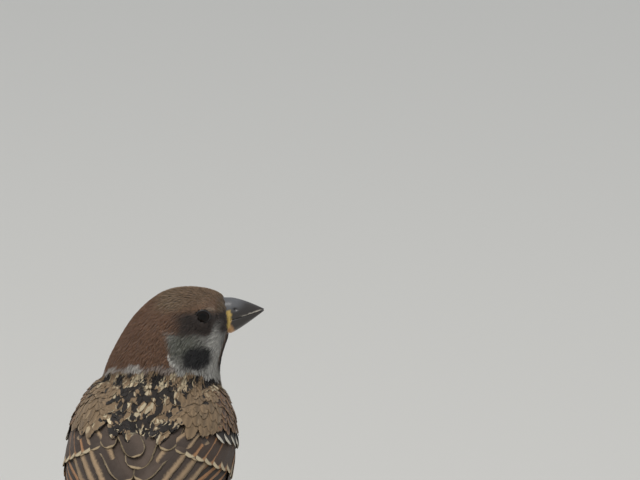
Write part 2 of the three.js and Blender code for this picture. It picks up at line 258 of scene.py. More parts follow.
# %% The floor and the light
FLOOR_SIZE = 16.0
FLOOR_COLOUR = paint(206, 204, 199)

floor_mesh = bpy.data.meshes.new("floor")
floor_corners = [(x * FLOOR_SIZE / 2, y * FLOOR_SIZE / 2, 0) for x, y in ((-1, -1), (1, -1), (1, 1), (-1, 1))]
floor_mesh.from_pydata(floor_corners, [], [(0, 1, 2, 3)])
floor = added("floor", floor_mesh)
floor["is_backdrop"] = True
floor_material, _, floor_shader = new_material("floor", 0.9)
floor_shader.inputs["Base Color"].default_value = (*FLOOR_COLOUR, 1)
floor_mesh.materials.append(floor_material)

world = bpy.data.worlds.new("sky")
world.use_nodes = True
sky = world.node_tree.nodes["Background"]
sky.inputs["Color"].default_value = (0.92, 0.96, 1.0, 1)
sky.inputs["Strength"].default_value = 0.62
bpy.context.scene.world = world
bpy.context.scene.view_settings.view_transform = "Standard"


def soft_lamp(name, place, target, size, power, colour):
    lamp = bpy.data.lights.new(name, "AREA")
    lamp.size = size
    lamp.energy = power
    lamp.color = colour
    holder = added(name, lamp)
    holder.location = place
    holder.rotation_euler = (Vector(target) - Vector(place)).to_track_quat("-Z", "Y").to_euler()


soft_lamp("noon_lamp", (0.35, 0.5, 1.5), (0, 0, 0.05), 0.9, 13.0, (1.0, 0.97, 0.93))
print("floor, sky and one lamp are in place")

# %% [markdown]
# ## One smooth outline to lay feathers on
# The solids are faceted and parted by thin cuts. Feathers need one smooth ground, so the solids are
# joined, wrapped in a fine net of squares and relaxed. The same steps on the flesh alone, pulled in
# by the depth of the coat, give the skin.

# %% Wrap the solids in fine nets
FLESH = [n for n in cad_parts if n.startswith(("head", "neck", "trunk", "shank", "tarsus", "toe"))]
WINGS = [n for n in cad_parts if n.startswith("wing")]
HARD = [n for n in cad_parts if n.startswith(("bill", "eye"))]


def solid_arrays(nodes):
    """Corner places in mm, faces, and the node that each face came from."""
    places, faces, owners = [], [], []
    start = 0
    for name in nodes:
        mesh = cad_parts[name].data
        flat = np.zeros(len(mesh.vertices) * 3)
        mesh.vertices.foreach_get("co", flat)
        places.append(flat.reshape(-1, 3) / MM)
        faces += [[i + start for i in face.vertices] for face in mesh.polygons]
        owners += [name] * len(mesh.polygons)
        start += len(mesh.vertices)
    return np.vstack(places), faces, np.array(owners)


def wrapped(name, nodes, net, relax):
    """One closed net of squares round these solids, relaxed so that no facet or cut shows."""
    places, faces, _ = solid_arrays(nodes)
    mesh = bpy.data.meshes.new(name)
    mesh.from_pydata(places * MM, [], faces)
    piece = added(name, mesh)
    wrap = piece.modifiers.new("wrap", "REMESH")
    wrap.mode = "VOXEL"
    wrap.voxel_size = net * MM
    soften = piece.modifiers.new("relax", "SMOOTH")
    soften.factor = 0.6
    soften.iterations = relax
    bpy.context.view_layer.update()
    settled = bpy.data.meshes.new_from_object(piece.evaluated_get(bpy.context.evaluated_depsgraph_get()))
    bpy.data.objects.remove(piece)
    return settled


def mesh_arrays(mesh):
    places = np.zeros(len(mesh.vertices) * 3)
    normals = np.zeros(len(mesh.vertices) * 3)
    mesh.vertices.foreach_get("co", places)
    mesh.vertices.foreach_get("normal", normals)
    return places.reshape(-1, 3) / MM, normals.reshape(-1, 3)


outline_mesh = wrapped("outline", FLESH + WINGS + HARD, 0.6, 8)
ground_places, ground_normals = mesh_arrays(outline_mesh)
ground_faces = [tuple(face.vertices) for face in outline_mesh.polygons]
ground_corners = np.array([face if len(face) == 4 else (*face, face[-1]) for face in ground_faces])
ground = BVHTree.FromPolygons([Vector(p) for p in ground_places], ground_faces)
print("outline net:", len(ground_faces), "squares")


def settle(places):
    """The nearest place on the smooth outline, and its smooth normal."""
    flat = places.reshape(-1, 3)
    hits = [ground.find_nearest(Vector(p)) for p in flat]
    found = np.array([hit[0] for hit in hits])
    corners = ground_corners[[hit[2] for hit in hits]]
    away = np.linalg.norm(ground_places[corners] - found[:, None, :], axis=-1)
    weight = 1 / (away + 0.05) ** 2
    normal = unit(np.einsum("nc,nck->nk", weight, ground_normals[corners]))
    return found.reshape(places.shape), normal.reshape(places.shape)


solid_places, solid_faces, solid_owners = solid_arrays(FLESH + WINGS + HARD)
solids = BVHTree.FromPolygons([Vector(p) for p in solid_places], solid_faces)


def owner_of(places):
    return solid_owners[[solids.find_nearest(Vector(p))[2] for p in places]]


# %% [markdown]
# ## How deep the coat is
# The coat is thick on the breast and back, thin on the face, and gone at the ankle. The skin lies
# that far inside the outline.

# %% Make the skin
COLLAR_HEIGHT = 64.6
COLLAR_SLOPE = 0.36
BODY_DEPTH = 2.0
BILL_EDGE_DEPTH, HEAD_DEPTH = 0.25, 1.0
EYE_EDGE_DEPTH = 0.8
TAIL_EDGE_DEPTH = 0.75


def above_collar(places):
    return places[..., 2] - COLLAR_HEIGHT - COLLAR_SLOPE * (places[..., 1] - SKULL[1])


def toward_tail(places):
    """1 where the body is hollowed for the root of the tail, so that its walls are thin."""
    return ramp(places[..., 1] - DRAWING_ORIGIN[1], 20.0, 28.0)


def coat_depth(places):
    forward, up, out = to_head(places)
    from_bill = np.sqrt((forward - 12) ** 2 + (up - 2) ** 2 + out ** 2)
    head_depth = lerp(BILL_EDGE_DEPTH, HEAD_DEPTH, ramp(from_bill, 1.0, 14.0))
    depth = lerp(BODY_DEPTH, head_depth, ramp(above_collar(places), -6.0, 8.0))
    from_eye = np.sqrt((forward - EYE_FORWARD) ** 2 + (up - EYE_UP) ** 2 + (np.abs(out) - EYE_OUT) ** 2)
    depth = lerp(EYE_EDGE_DEPTH, depth, ramp(from_eye, 3.2, 6.5))
    depth = lerp(depth, TAIL_EDGE_DEPTH, toward_tail(places))
    above_ankle = ramp(places[..., 2], 17.5, 28.0)
    behind_legs = ramp(places[..., 1] - DRAWING_ORIGIN[1], 10.0, 16.0)
    return depth * np.maximum(above_ankle, behind_legs)


skin_mesh = wrapped("skin", FLESH, 0.47, 5)
skin_places, skin_normals = mesh_arrays(skin_mesh)
skin_places = skin_places - skin_normals * coat_depth(skin_places)[:, None]
skin_mesh.vertices.foreach_set("co", (skin_places * MM).ravel())
skin_mesh.update()
put_in_place("skin", skin_mesh, FLESH)
print("skin:", len(skin_mesh.polygons), "squares")

# %% [markdown]
# ## The markings
# A young tree sparrow has a dull chestnut cap, painted lighter and more olive on top, partly its own
# colour and partly a painted highlight from the light above. It has a dark line through the eye, a
# greyish cheek with a black ear spot, a black bib and a thin whitish collar. Its back is streaked black
# and cream on buff, with plain golden brown to both sides. Each marking is a soft region in the head's
# axes or in the body's share and angle. Skin and feathers both ask here, so the coat and what shows
# between its feathers always agree.
# region in the head's axes or in the body's share and angle. Skin and feathers both ask here, so the
# coat and what shows between its feathers always agree.

# %% Colours and soft regions
CAP = paint(124, 104, 82)
CHESTNUT = paint(112, 82, 62)
LORE = paint(58, 48, 43)
CHEEK = paint(146, 143, 138)
CHEEK_SPECKLE = paint(98, 99, 88)
EAR_SPOT = paint(38, 37, 38)
BIB = paint(42, 39, 38)
WHITISH = paint(206, 203, 196)
BROW = paint(168, 156, 138)
BUFF = paint(166, 138, 104)
BREAST = paint(182, 172, 156)
BELLY = paint(214, 206, 192)
FLANK = paint(176, 154, 126)
RUMP = paint(132, 110, 84)


def spot(x, y, cx, cy, rx, ry, soft=0.35):
    away = np.sqrt(((x - cx) / rx) ** 2 + ((y - cy) / ry) ** 2)
    return 1 - ramp(away, 1 - soft, 1 + soft)


def wobble(places, size, seed=0.0):
    """A smooth, irregular number from -1 to 1, for the ragged edges of a marking."""
    p = places / size + seed
    a = np.sin(p[..., 0] * 1.7 + np.sin(p[..., 1] * 1.3) * 1.4 + p[..., 2] * 0.9)
    b = np.sin(p[..., 1] * 2.1 + np.sin(p[..., 2] * 1.6) * 1.3 - p[..., 0] * 0.7)
    c = np.sin(p[..., 2] * 1.9 + np.sin(p[..., 0] * 1.5) * 1.2 + p[..., 1] * 1.1)
    return (a + b + c) / 3


print("a marking fades over", [round(float(spot(x, 0.0, 0, 0, 1, 1)), 2) for x in (0.6, 0.8, 1.0, 1.2)])

# %% [markdown]
# ## The streaked back
# The back is buff, streaked with black and cream along the lie of the feathers. The streaks come
# from a smooth irregular field that is stretched backward, so no two are alike and none is placed by
# hand. Toward the wings the field fades into plain golden brown.

# %% Paint the mantle
MANTLE_BUFF = paint(138, 115, 88)
MANTLE_CREAM = paint(190, 174, 144)
MANTLE_BLACK = paint(34, 29, 26)
SCAPULAR_GOLD = paint(132, 110, 84)
STREAK_WIDTH, STREAK_LENGTH = 1.15, 3.7
MM_PER_DEGREE, MM_PER_SHARE = 0.3, 100


def mantle_marks(places, jolt=0.0):
    """How black, how cream and how golden the back is, in broken streaks that run backward."""
    share, angle, _ = to_body(places.reshape(-1, 3))
    share, angle = share.reshape(places.shape[:-1]), angle.reshape(places.shape[:-1])
    across, back = angle * MM_PER_DEGREE / STREAK_WIDTH, share * MM_PER_SHARE / STREAK_LENGTH
    streaks = np.stack([across, back, 0 * back], -1) + jolt
    gold = ramp(np.abs(angle), 26, 38) * ramp(share, 0.15, 0.23)
    black = wobble(streaks, 1.0, 2.0) + 0.12 - 0.66 * gold
    cream = wobble(streaks * np.array([1.5, 0.9, 1.0]), 1.0, 9.0) - 0.22 - 0.6 * gold
    return black, cream, gold


def mantle_paint(places):
    black, cream, gold = mantle_marks(places)
    colour = mixed(np.broadcast_to(MANTLE_BUFF, places.shape), SCAPULAR_GOLD, gold)
    colour = mixed(colour, MANTLE_CREAM, ramp(cream, -0.05, 0.1))
    return mixed(colour, MANTLE_BLACK, ramp(black, -0.05, 0.1))


print("mantle on the middle line:", mantle_paint(STEP_CENTRES[30:33]).round(2).tolist())

# %% [markdown]
# ## Head and body
# Every layer is mixed over the one before it, as a painter would: ground colour first, then cap,
# cheek and eye line, the ear spot and bib last. The collar is a band on a sloping plane, and below
# it the head's colours give way to the body's.

# %% Paint the head and the body
def head_paint(places):
    forward, up, out = to_head(places)
    side = np.abs(out)
    rag = wobble(places, 1.6)
    forward = forward + rag * 0.6
    up = up + wobble(places, 1.3, 4.0) * 0.5
    colour = np.broadcast_to(CHESTNUT, places.shape).copy()
    # The top of the crown is painted lighter and more olive: partly the cap's own colour, partly a painted
    # highlight from the light above.
    colour = mixed(colour, CAP, ramp(up - 0.2 * forward, 5.6, 8.6) * ramp(forward, -12, -5))
    colour = mixed(colour, lerp(CAP, CHESTNUT, 0.5), ramp(up, 2.0, 5.0) * ramp(forward, -6.0, 2.0) * 0.6)
    colour = mixed(colour, CAP * 0.78, ramp(forward, 7.5, 10) * ramp(up, 3.5, 5.5))
    cheek = ramp(up, 0.9, -0.9) * ramp(forward + 0.25 * up, -7.2, -5.4) * ramp(side, 3.0, 5.0)
    speckle = lerp(0.6, 1.0, np.clip(0.5 + 0.9 * wobble(places, 0.45, 7.0), 0, 1))
    grey = mixed(CHEEK, CHEEK_SPECKLE, spot(forward, up, -1.0, -3.6, 6.0, 4.2, 0.6) * speckle)
    colour = mixed(colour, grey, cheek)
    dark_line = ramp(forward, -6.0, -0.5) * spot(up, 0 * up, 2.4, 0, 3.0, 1.0, 0.35)
    colour = mixed(colour, LORE, dark_line * ramp(side, 2.0, 4.0))
    on_side, far_side = ramp(side, 3.0, 5.0), ramp(side, 3.0, 6.0)
    colour = mixed(colour, WHITISH * 0.86, spot(forward, up, 8.4 + 0.1 * up, -7.5, 1.7, 8.0, 0.5) * on_side)
    colour = mixed(colour, EAR_SPOT, spot(forward, up, 2.9, -7.2, 4.4, 3.5, 0.3) * far_side)
    pale_edge = spot(forward + 0.5 * (up + 7), up, -4.7, -7.4, 0.6, 1.5, 0.5)
    colour = mixed(colour, WHITISH, pale_edge * far_side)
    colour = mixed(colour, BROW, spot(forward, up, 6.4, 6.3, 1.6, 0.6, 0.5) * on_side * 0.3)
    bib = ramp(side + rag * 0.5, 4.4, 2.6) * ramp(up, 0.5, -1.5) * ramp(forward, 3.0, 6.0)
    colour = mixed(colour, BIB, bib * ramp(above_collar(places), 1.0, 5.0))
    collar = above_collar(places) + rag * 0.8
    nape = ramp(forward, 9.0, 4.0)
    broken = ramp(wobble(places, 2.6, 3.0), -0.5, 0.5)
    band = spot(collar, 0 * collar, 3.2, 0, lerp(3.0, 0.8, nape), 1.0, 0.5)
    colour = mixed(colour, WHITISH * 0.8, band * lerp(0.75, 0.35 + 0.45 * broken, nape))
    off_back = np.abs(to_body(places)[1]) + rag * 4
    below = mixed(np.broadcast_to(BREAST, places.shape), FLANK * 0.85, ramp(off_back, 100, 84))
    below = mixed(below, mantle_paint(places), ramp(off_back, 82, 70))
    colour = mixed(colour, below, ramp(collar, 2.7, 2.1))
    return colour


def body_paint(places):
    share, angle, _ = to_body(places)
    off_back = np.abs(angle) + wobble(places, 3.0) * 5
    colour = np.broadcast_to(BUFF, places.shape).copy()
    colour = mixed(colour, mantle_paint(places), ramp(off_back, 62, 52) * ramp(share, 0.56, 0.5))
    colour = mixed(colour, RUMP, ramp(share, 0.62, 0.8))
    colour = mixed(colour, FLANK * 0.85, ramp(off_back, 78, 98))
    colour = mixed(colour, BREAST, ramp(off_back, 96, 118))
    colour = mixed(colour, BELLY, ramp(off_back, 118, 150) * ramp(share, 0.1, 0.35))
    return colour


def plumage_paint(places):
    on_head = ramp(above_collar(places), -1.5, 0.5)
    return mixed(body_paint(places), head_paint(places), on_head)


print("markings ready")

# %% [markdown]
# ## Which way feathers lie
# On the head they run back from the bill, part round the eye and turn down the nape and throat. On
# the body they follow the middle line backward, and on the thighs they run down to the ankle.

# %% The lie of the plumage
BILL_ROOT_PLACE = from_head(13.0, 1.5, 0.0)
KNEE = DRAWING_ORIGIN + np.array([8.5, -7.0, 33.0])
ANKLE = DRAWING_ORIGIN + np.array([9.6, 6.0, 17.6])
MIDDLE_X = DRAWING_ORIGIN[0]


def mirrored(place, side):
    turned = np.array(place, float)
    turned[..., 0] = MIDDLE_X + (turned[..., 0] - MIDDLE_X) * side
    return turned


def eye_away(places):
    """The way from the nearer eye's middle."""
    right = to_head(places)[2] > 0
    return places - np.where(right[..., None], eye_places["right"], eye_places["left"])


def thigh_share(places):
    side = np.where(places[..., 0] > MIDDLE_X, 1.0, -1.0)
    folded = places.copy()
    folded[..., 0] = MIDDLE_X + (places[..., 0] - MIDDLE_X) * side
    line = ANKLE - KNEE
    along = np.clip(dot(folded - KNEE, line) / dot(line, line), 0, 1)
    off = np.linalg.norm(folded - KNEE - along[..., None] * line, axis=-1)
    return along, off, side


def flow_at(places, normals):
    from_bill = places - BILL_ROOT_PLACE
    reach = np.linalg.norm(from_bill, axis=-1)
    head_flow = unit(from_bill) - HEAD_UP * (1.1 * ramp(reach, 8, 24))[..., None]
    away = eye_away(places)
    near_eye = ramp(np.linalg.norm(away, axis=-1), 7.0, 3.0)
    head_flow = head_flow + unit(away) * (0.7 * near_eye)[..., None]
    share, _, _ = to_body(places)
    body_flow = spine_frame(share)[1]
    along, off, side = thigh_share(places)
    leg_line = unit(ANKLE - KNEE) * np.stack([side, 1 + 0 * side, 1 + 0 * side], -1)
    body_flow = mixed(body_flow, leg_line, ramp(off, 8.5, 6.5) * ramp(places[..., 2], 32.0, 25.0))
    flow = mixed(body_flow, unit(head_flow), ramp(above_collar(places), -4.0, 6.0))
    return unit(flow - normals * dot(flow, normals)[..., None])


# %% [markdown]
# ## Where feathers grow
# Roots are scattered by throwing darts: a dart stays only if no earlier one is closer than the
# spacing there. That gives the even but irregular spread of real plumage.

# %% Scatter the roots
DARTS_PER_ROOT = 3.2


def random_places(chosen_faces, count):
    quads = ground_places[ground_corners[chosen_faces]]
    across = np.linalg.norm(np.cross(quads[:, 2] - quads[:, 0], quads[:, 3] - quads[:, 1]), axis=-1)
    picks = rng.choice(len(quads), count, p=across / across.sum())
    u, v = rng.random((2, count, 1))
    q = quads[picks]
    places = (q[:, 0] * (1 - u) + q[:, 1] * u) * (1 - v) + (q[:, 3] * (1 - u) + q[:, 2] * u) * v
    return places, across.sum() / 2


def scatter(chosen_faces, spacing_at):
    """Roots on these faces of the outline, no two closer than the spacing at the later one."""
    probe, area = random_places(chosen_faces, 500)
    tries = int(area * np.mean(DARTS_PER_ROOT / spacing_at(probe) ** 2))
    places, _ = random_places(chosen_faces, tries)
    spacing = spacing_at(places)
    cell = float(spacing.max())
    keys = np.floor(places / cell).astype(int)
    grid = {}
    kept = []
    steps = [(i, j, k) for i in (-1, 0, 1) for j in (-1, 0, 1) for k in (-1, 0, 1)]
    for n in range(tries):
        x, y, z = places[n]
        a, b, c = keys[n]
        limit = spacing[n] ** 2
        close = False
        for i, j, k in steps:
            for px, py, pz in grid.get((a + i, b + j, c + k), ()):
                if (px - x) ** 2 + (py - y) ** 2 + (pz - z) ** 2 < limit:
                    close = True
                    break
            if close:
                break
        if not close:
            grid.setdefault((a, b, c), []).append((x, y, z))
            kept.append(n)
    return places[kept]


face_middles = ground_places[ground_corners].mean(axis=1)
face_owners = owner_of(face_middles)


def owned_by(prefix, owners=face_owners):
    return np.char.startswith(owners.astype(str), prefix)


face_share, face_angle, _ = to_body(face_middles)
face_height = above_collar(face_middles)
print("faces by owner:", {str(k): int((face_owners == k).sum()) for k in ("head", "neck", "trunk")})

# %% [markdown]
# ## A heap of vanes
# Eighteen thousand feathers as objects would be slow, so the vanes of one region share one mesh.
# Each is a grid of corners closed below and at both ends. It also carries where a point lies on it
# in millimetres, so that finishes can draw its barbs and markings.

# %% Collect vanes
class Plumage:
    """Collects vanes and turns them into one mesh."""

    def __init__(self):
        self.places, self.faces, self.uvs = [], [], []
        self.fields = {"vane": [], "pattern": [], "tint": [], "rim": [], "blotch": []}
        self.count = 0

    def add(self, places, template, uv, fields, across, along, spread, length):
        n, m = places.shape[:2]
        fields["vane"] = np.stack([across, along * length[:, None], np.abs(spread)], -1)
        offsets = self.count + np.arange(n)[:, None] * m
        for faces in template:
            self.faces.append((offsets[:, :, None] + faces[None]).reshape(-1, faces.shape[1]))
        self.places.append(places.reshape(-1, 3))
        self.uvs.append(uv.reshape(-1, 2))
        for name, values in fields.items():
            self.fields[name].append(np.broadcast_to(values, (n, m, 3)).reshape(-1, 3))
        self.count += n * m


def vane_template(rows, columns, turned=False):
    """Faces of one vane by corner count. The corners are rows of columns."""
    def at(r, c):
        return r * columns + c

    top = [(at(r, c), at(r, c + 1), at(r + 1, c + 1), at(r + 1, c))
           for r in range(rows - 1) for c in range(columns - 1)]
    under = [(at(r, 0), at(r + 1, 0), at(r + 1, columns - 1), at(r, columns - 1)) for r in range(rows - 1)]
    root = [tuple(at(0, c) for c in range(columns - 1, -1, -1))]
    tip = [tuple(at(rows - 1, c) for c in range(columns))]
    template = [np.array(top + under), np.array(root), np.array(tip)]
    return [faces[:, ::-1] for faces in template] if turned else template


print("faces of a vane of 5 rows and 3 columns:", sum(len(faces) for faces in vane_template(5, 3)))

# %% [markdown]
# ## The shape of one feather
# A vane is a thin closed lens: a bowed top, a flat underside, and edges that are nicked where barbs
# part. Its width swells from the root and rounds off at the tip. A real vane is springy, so a broad
# one is draped on what lies under it but spans the dips.

# %% Shape a vane round its centre line
DEEPEST_DROP, HIGHEST_RISE = -1.4, 0.9


def row_steps(rows):
    """Rows from root to tip, closer together where the tip rounds off."""
    return 1 - (1 - np.linspace(0, 1, rows)) ** 1.45


def width_profile(along, root_width=0.35, tip_from=0.62):
    swell = lerp(root_width, 1.0, ramp(along, 0.0, 0.5))
    rounding = np.sqrt(np.clip(1 - (np.clip(along - tip_from, 0, 1) / (1.008 - tip_from)) ** 2, 0, 1))
    return swell * rounding


def bridged(places, centre, normal, thickness, c):
    """A vane is stiff: where the ground dips, it spans the dip from edge to edge."""
    height = dot(places - centre[:, :, None], normal[:, :, None])
    chord = lerp(height[..., :1], height[..., -1:], (c + 1) / 2)
    rise = np.maximum(0, chord + thickness * (1 - c ** 2) - height)
    return places + normal[:, :, None] * rise[..., None]


def nicked_spread(c, shape, nicks):
    """From -1 to 1 across each row of a vane, with its two edges nicked at random."""
    nick = 1 - nicks * rng.random((*shape, 2))
    spread = np.broadcast_to(c, (*shape, len(c))).copy()
    spread[..., 0] *= nick[..., 0]
    spread[..., -1] *= nick[..., 1]
    return spread


def eased(values):
    """Soften along the rows, but leave the first and the last row."""
    values[:, 1:-1] = (values[:, :-2] + 2 * values[:, 1:-1] + values[:, 2:]) / 4


def vane_grid(centre, forward, normal, half, steps, columns, thickness, sag_radius, nicks, draped):
    """Places of every corner of every vane. centre, forward and normal are (vanes, rows, 3)."""
    n, rows = centre.shape[:2]
    c = np.linspace(-1, 1, columns)
    side = np.cross(forward, normal)
    wide = half[:, None] * steps["profile"][None]
    spread = nicked_spread(c, (n, rows), nicks)
    across = spread * wide[..., None]
    places = centre[:, :, None] + side[:, :, None] * across[..., None]
    lift = thickness * (1 - c ** 2) - across ** 2 / (2 * sag_radius)
    if nicks > 0:
        # The tip is ragged: each column ends a little early or late.
        split = rng.normal(0, 1, (n, 1, columns)) * ramp(np.linspace(0, 1, rows), 0.6, 1.0)[None, :, None]
        places = places + forward[:, :, None] * (split * nicks * half[:, None, None] * 0.5)[..., None]
    if draped:
        found, found_normal = settle(places)
        deep = dot(centre - steps["ground"], normal)
        laid = found + found_normal * (deep[..., None] + thickness * (1 - c ** 2))[..., None]
        height = np.clip(dot(laid - places, normal[:, :, None]), DEEPEST_DROP, HIGHEST_RISE)
        for _ in range(3):
            eased(height)
        places = bridged(places + normal[:, :, None] * height[..., None], centre, normal, thickness, c)
    else:
        places = places + normal[:, :, None] * lift[..., None]
    return places.reshape(n, -1, 3), across.reshape(n, -1), spread.reshape(n, -1)


print("share of full width, root to tip:", width_profile(np.linspace(0, 1, 6)).round(2))

# %% [markdown]
# ## How feathers grow
# A contour feather marches along the outline from its root, so that it follows the lie of the
# plumage, and rises out of the coat towards its tip. On a map of the bird's own shape it keeps one
# small patch at its root, since a feather has no room there for more.

# %% Grow feathers from roots
PATCH = 0.003


def march(roots, lengths, alongs, yaw):
    """Centre lines on the outline: places, normals and directions at each step."""
    place, normal = settle(roots)
    direction = flow_at(place, normal)
    turn = np.cross(normal, direction)
    direction = unit(direction * np.cos(yaw)[:, None] + turn * np.sin(yaw)[:, None])
    places, normals, directions = [place], [normal], [direction]
    for before, after in zip(alongs[:-1], alongs[1:]):
        place, normal = settle(place + direction * (lengths * (after - before))[:, None])
        flow = flow_at(place, normal)
        direction = direction * 0.6 + flow * 0.4
        direction = unit(direction - normal * dot(direction, normal)[:, None])
        places.append(place)
        normals.append(normal)
        directions.append(direction)
    return np.stack(places, 1), np.stack(normals, 1), np.stack(directions, 1)


def colour_rows(colour, count):
    return np.repeat(colour[:, None, :], count, axis=1)


def varied(colour, unevenness, shape):
    """One colour for every feather, a little lighter or darker from each to the next."""
    return colour_rows(colour * rng.normal(1.0, unevenness, (shape[0], 1)), shape[1])


def along_flow(roots, reach):
    """Where feathers of this reach would end if they lay straight."""
    return roots + flow_at(roots, settle(roots)[1]) * reach[:, None]


def pattern_of(blotch, rim):
    """How much blotch and rim each corner has, and one random number for the whole feather."""
    return np.stack([blotch, rim, rng.random((len(rim), 1)) + 0 * rim], -1)


def grow(plumage, roots, length, half, rows, columns, root_depth, tip_depth, thickness, paints,
         uv_at, yaw_spread=0.12, nicks=0.0, draped=False, profile=width_profile, sag_radius=12.0):
    """Lay contour feathers from these roots and add them to the plumage."""
    n = len(roots)
    along = row_steps(rows)
    key = np.linspace(0, 1, 6) if rows > 6 else along
    yaw = rng.normal(0, yaw_spread, n)
    places, normals, directions = march(roots, length, key, yaw)
    if rows > len(key):
        spot_at = along * (len(key) - 1.0)
        low = np.minimum(spot_at.astype(int), len(key) - 2)
        share = (spot_at - low)[None, :, None]
        places, normals, directions = (
            line[:, low] * (1 - share) + line[:, low + 1] * share for line in (places, normals, directions))
        normals, directions = unit(normals), unit(directions)
    sink = root_depth[:, None] + (tip_depth - root_depth)[:, None] * (along ** 0.5)[None]
    centre = places - normals * sink[..., None]
    steps = {"profile": profile(along), "ground": places}
    corners, across, spread = vane_grid(centre, directions, normals, half, steps, columns, thickness,
                                        sag_radius, nicks, draped)
    along_all = np.repeat(along, columns)[None] + 0 * spread
    patch = np.stack([spread * PATCH / 2, along_all * PATCH - PATCH / 2], -1)
    uv = uv_at(roots)[:, None, :] + patch
    fields = paints(roots, along_all, spread, length, half)
    plumage.add(corners, vane_template(rows, columns), uv, fields, across, along_all, spread, length)


test_line = march(ground_places[:1], np.array([5.0]), np.linspace(0, 1, 6), np.zeros(1))[0][0]
print("a 5 mm feather runs from", test_line[0].round(1), "to", test_line[-1].round(1))

# %% [markdown]
# ## From vanes to a mesh
# Millions of numbers are handed to the mesh in a few whole arrays, which is quick, where a loop over
# corners would be slow. The bake map and the colours go along with them.

# %% Turn a heap of vanes into a piece


def colour_corners(mesh, field, colours):
    with_alpha = np.hstack([np.clip(colours, 0, 1), np.ones((len(colours), 1))])
    mesh.attributes.new(field, "FLOAT_COLOR", "POINT").data.foreach_set("color", with_alpha.ravel())


def bake_plumage(plumage, name, replaced=()):
    """Turn the collected vanes into one mesh, with its bake map and its fields."""
    mesh = bpy.data.meshes.new(name)
    places = np.vstack(plumage.places) * MM
    loops = np.concatenate([faces.ravel() for faces in plumage.faces])
    sizes = np.concatenate([np.full(len(faces), faces.shape[1]) for faces in plumage.faces])
    mesh.vertices.add(len(places))
    mesh.vertices.foreach_set("co", places.ravel())
    mesh.loops.add(len(loops))
    mesh.loops.foreach_set("vertex_index", loops)
    mesh.polygons.add(len(sizes))
    mesh.polygons.foreach_set("loop_start", np.concatenate([[0], np.cumsum(sizes)[:-1]]))
    mesh.update(calc_edges=True)
    layer = mesh.uv_layers.new(name="OFBake")
    layer.data.foreach_set("uv", np.clip(np.vstack(plumage.uvs)[loops], 0, 1).ravel())
    for field, values in plumage.fields.items():
        stack = np.vstack(values)
        if field in ("vane", "pattern"):
            mesh.attributes.new(field, "FLOAT_VECTOR", "POINT").data.foreach_set("vector", stack.ravel())
        else:
            colour_corners(mesh, field, stack)
    print(f"{name}: {len(places)} corners, {int((sizes - 2).sum())} triangles")
    return put_in_place(name, mesh, replaced)


# %% [markdown]
# ## Small feathers of the head and neck
# The face has the smallest feathers of the bird, hardly a millimetre long round the eye. They
# lengthen over the crown and cheek and again down the neck. At the eye they dive under the lids.

# %% Feather the head
FACE_LENGTH, CROWN_LENGTH, NECK_LENGTH, EYE_EDGE_LENGTH = 1.35, 2.6, 3.4, 0.95
LOW_NECK = 6.5


def head_length(places):
    reach = np.linalg.norm(places - BILL_ROOT_PLACE, axis=-1)
    length = lerp(FACE_LENGTH, CROWN_LENGTH, ramp(reach, 1.5, 13.0))
    length = lerp(NECK_LENGTH, length, ramp(above_collar(places), -2.0, 7.0))
    near_eye = ramp(np.linalg.norm(eye_away(places), axis=-1), 6.0, 3.2)
    return lerp(length, EYE_EDGE_LENGTH, near_eye)


def head_spacing(places):
    return 0.075 + 0.086 * head_length(places)


def head_uv(places):
    """Rolls the head out round the line from the bill to the nape."""
    forward, up, out = to_head(places)
    turn = np.arctan2(out, up) / (2 * math.pi) + 0.5
    along = (16 - forward + np.maximum(0, -up) * 0.5) / 46
    return np.clip(np.stack([turn, along], -1), 0.01, 0.99)


def head_fields(roots, along, spread, length, half):
    n, m = along.shape
    colour = plumage_paint(along_flow(roots, length * 0.8))
    shade = rng.normal(1.0, 0.1, (n, 1))
    dark = rng.random((n, 1)) < 0.2
    shade = np.where(dark, shade * 0.8, shade)
    colour = colour * np.clip(shade, 0.5, 1.35)
    tip_light = 0.86 + 0.26 * along
    tint = colour_rows(colour, m) * tip_light[..., None]
    return {"tint": tint, "rim": tint, "blotch": tint, "pattern": pattern_of(0 * along, 0 * along)}


def off_eye_axis(places):
    """How far from the line straight out through the middle of the nearer eye."""
    away = eye_away(places)
    return np.linalg.norm(away - dot(away, HEAD_OUT)[:, None] * HEAD_OUT, axis=-1)


lid_faces = owned_by("eye") & (off_eye_axis(face_middles) > 2.15)
head_faces = np.nonzero((np.isin(face_owners, ["head", "neck"]) | lid_faces) & (face_height > 0.5))[0]
head_roots = scatter(head_faces, head_spacing)
rough_tips = along_flow(head_roots, head_length(head_roots))
head_roots = head_roots[off_eye_axis(rough_tips) > 2.0]
lengths = head_length(head_roots) * rng.uniform(0.85, 1.15, len(head_roots))
forward, up, out = to_head(head_roots)
low_neck = above_collar(head_roots) < LOW_NECK
regions = {
    "face_feathers": (forward > 3) & ~low_neck,
    "cheek_feathers": (forward <= 3) & (up < 0) & ~low_neck,
    "crown_feathers": (forward <= 3) & (up >= 0) & ~low_neck,
    "neck_feathers": low_neck,
}


def small_profile(along):
    return lerp(0.5, 1, ramp(along, 0, 0.4)) * np.sqrt(np.clip(1.02 - along ** 3, 0, 1))


coat_pieces = []
for label, chosen in regions.items():
    plumage = Plumage()
    picked = head_roots[chosen]
    reach = lengths[chosen]
    on_lid = ramp(np.linalg.norm(eye_away(picked), axis=-1), 4.6, 3.3)
    root_depth = lerp(coat_depth(picked) + 0.15, -0.02, on_lid)
    tip_depth = lerp(rng.uniform(0.0, 0.16, len(picked)) * ramp(reach, 1.0, 3.0), -0.16, on_lid)
    grow(plumage, picked, reach, 0.075 + reach * 0.075, 5, 3, root_depth, tip_depth, 0.04, head_fields,
         head_uv, yaw_spread=0.14, profile=small_profile)
    coat_pieces.append(bake_plumage(plumage, label))
print("head feathers:", len(head_roots))

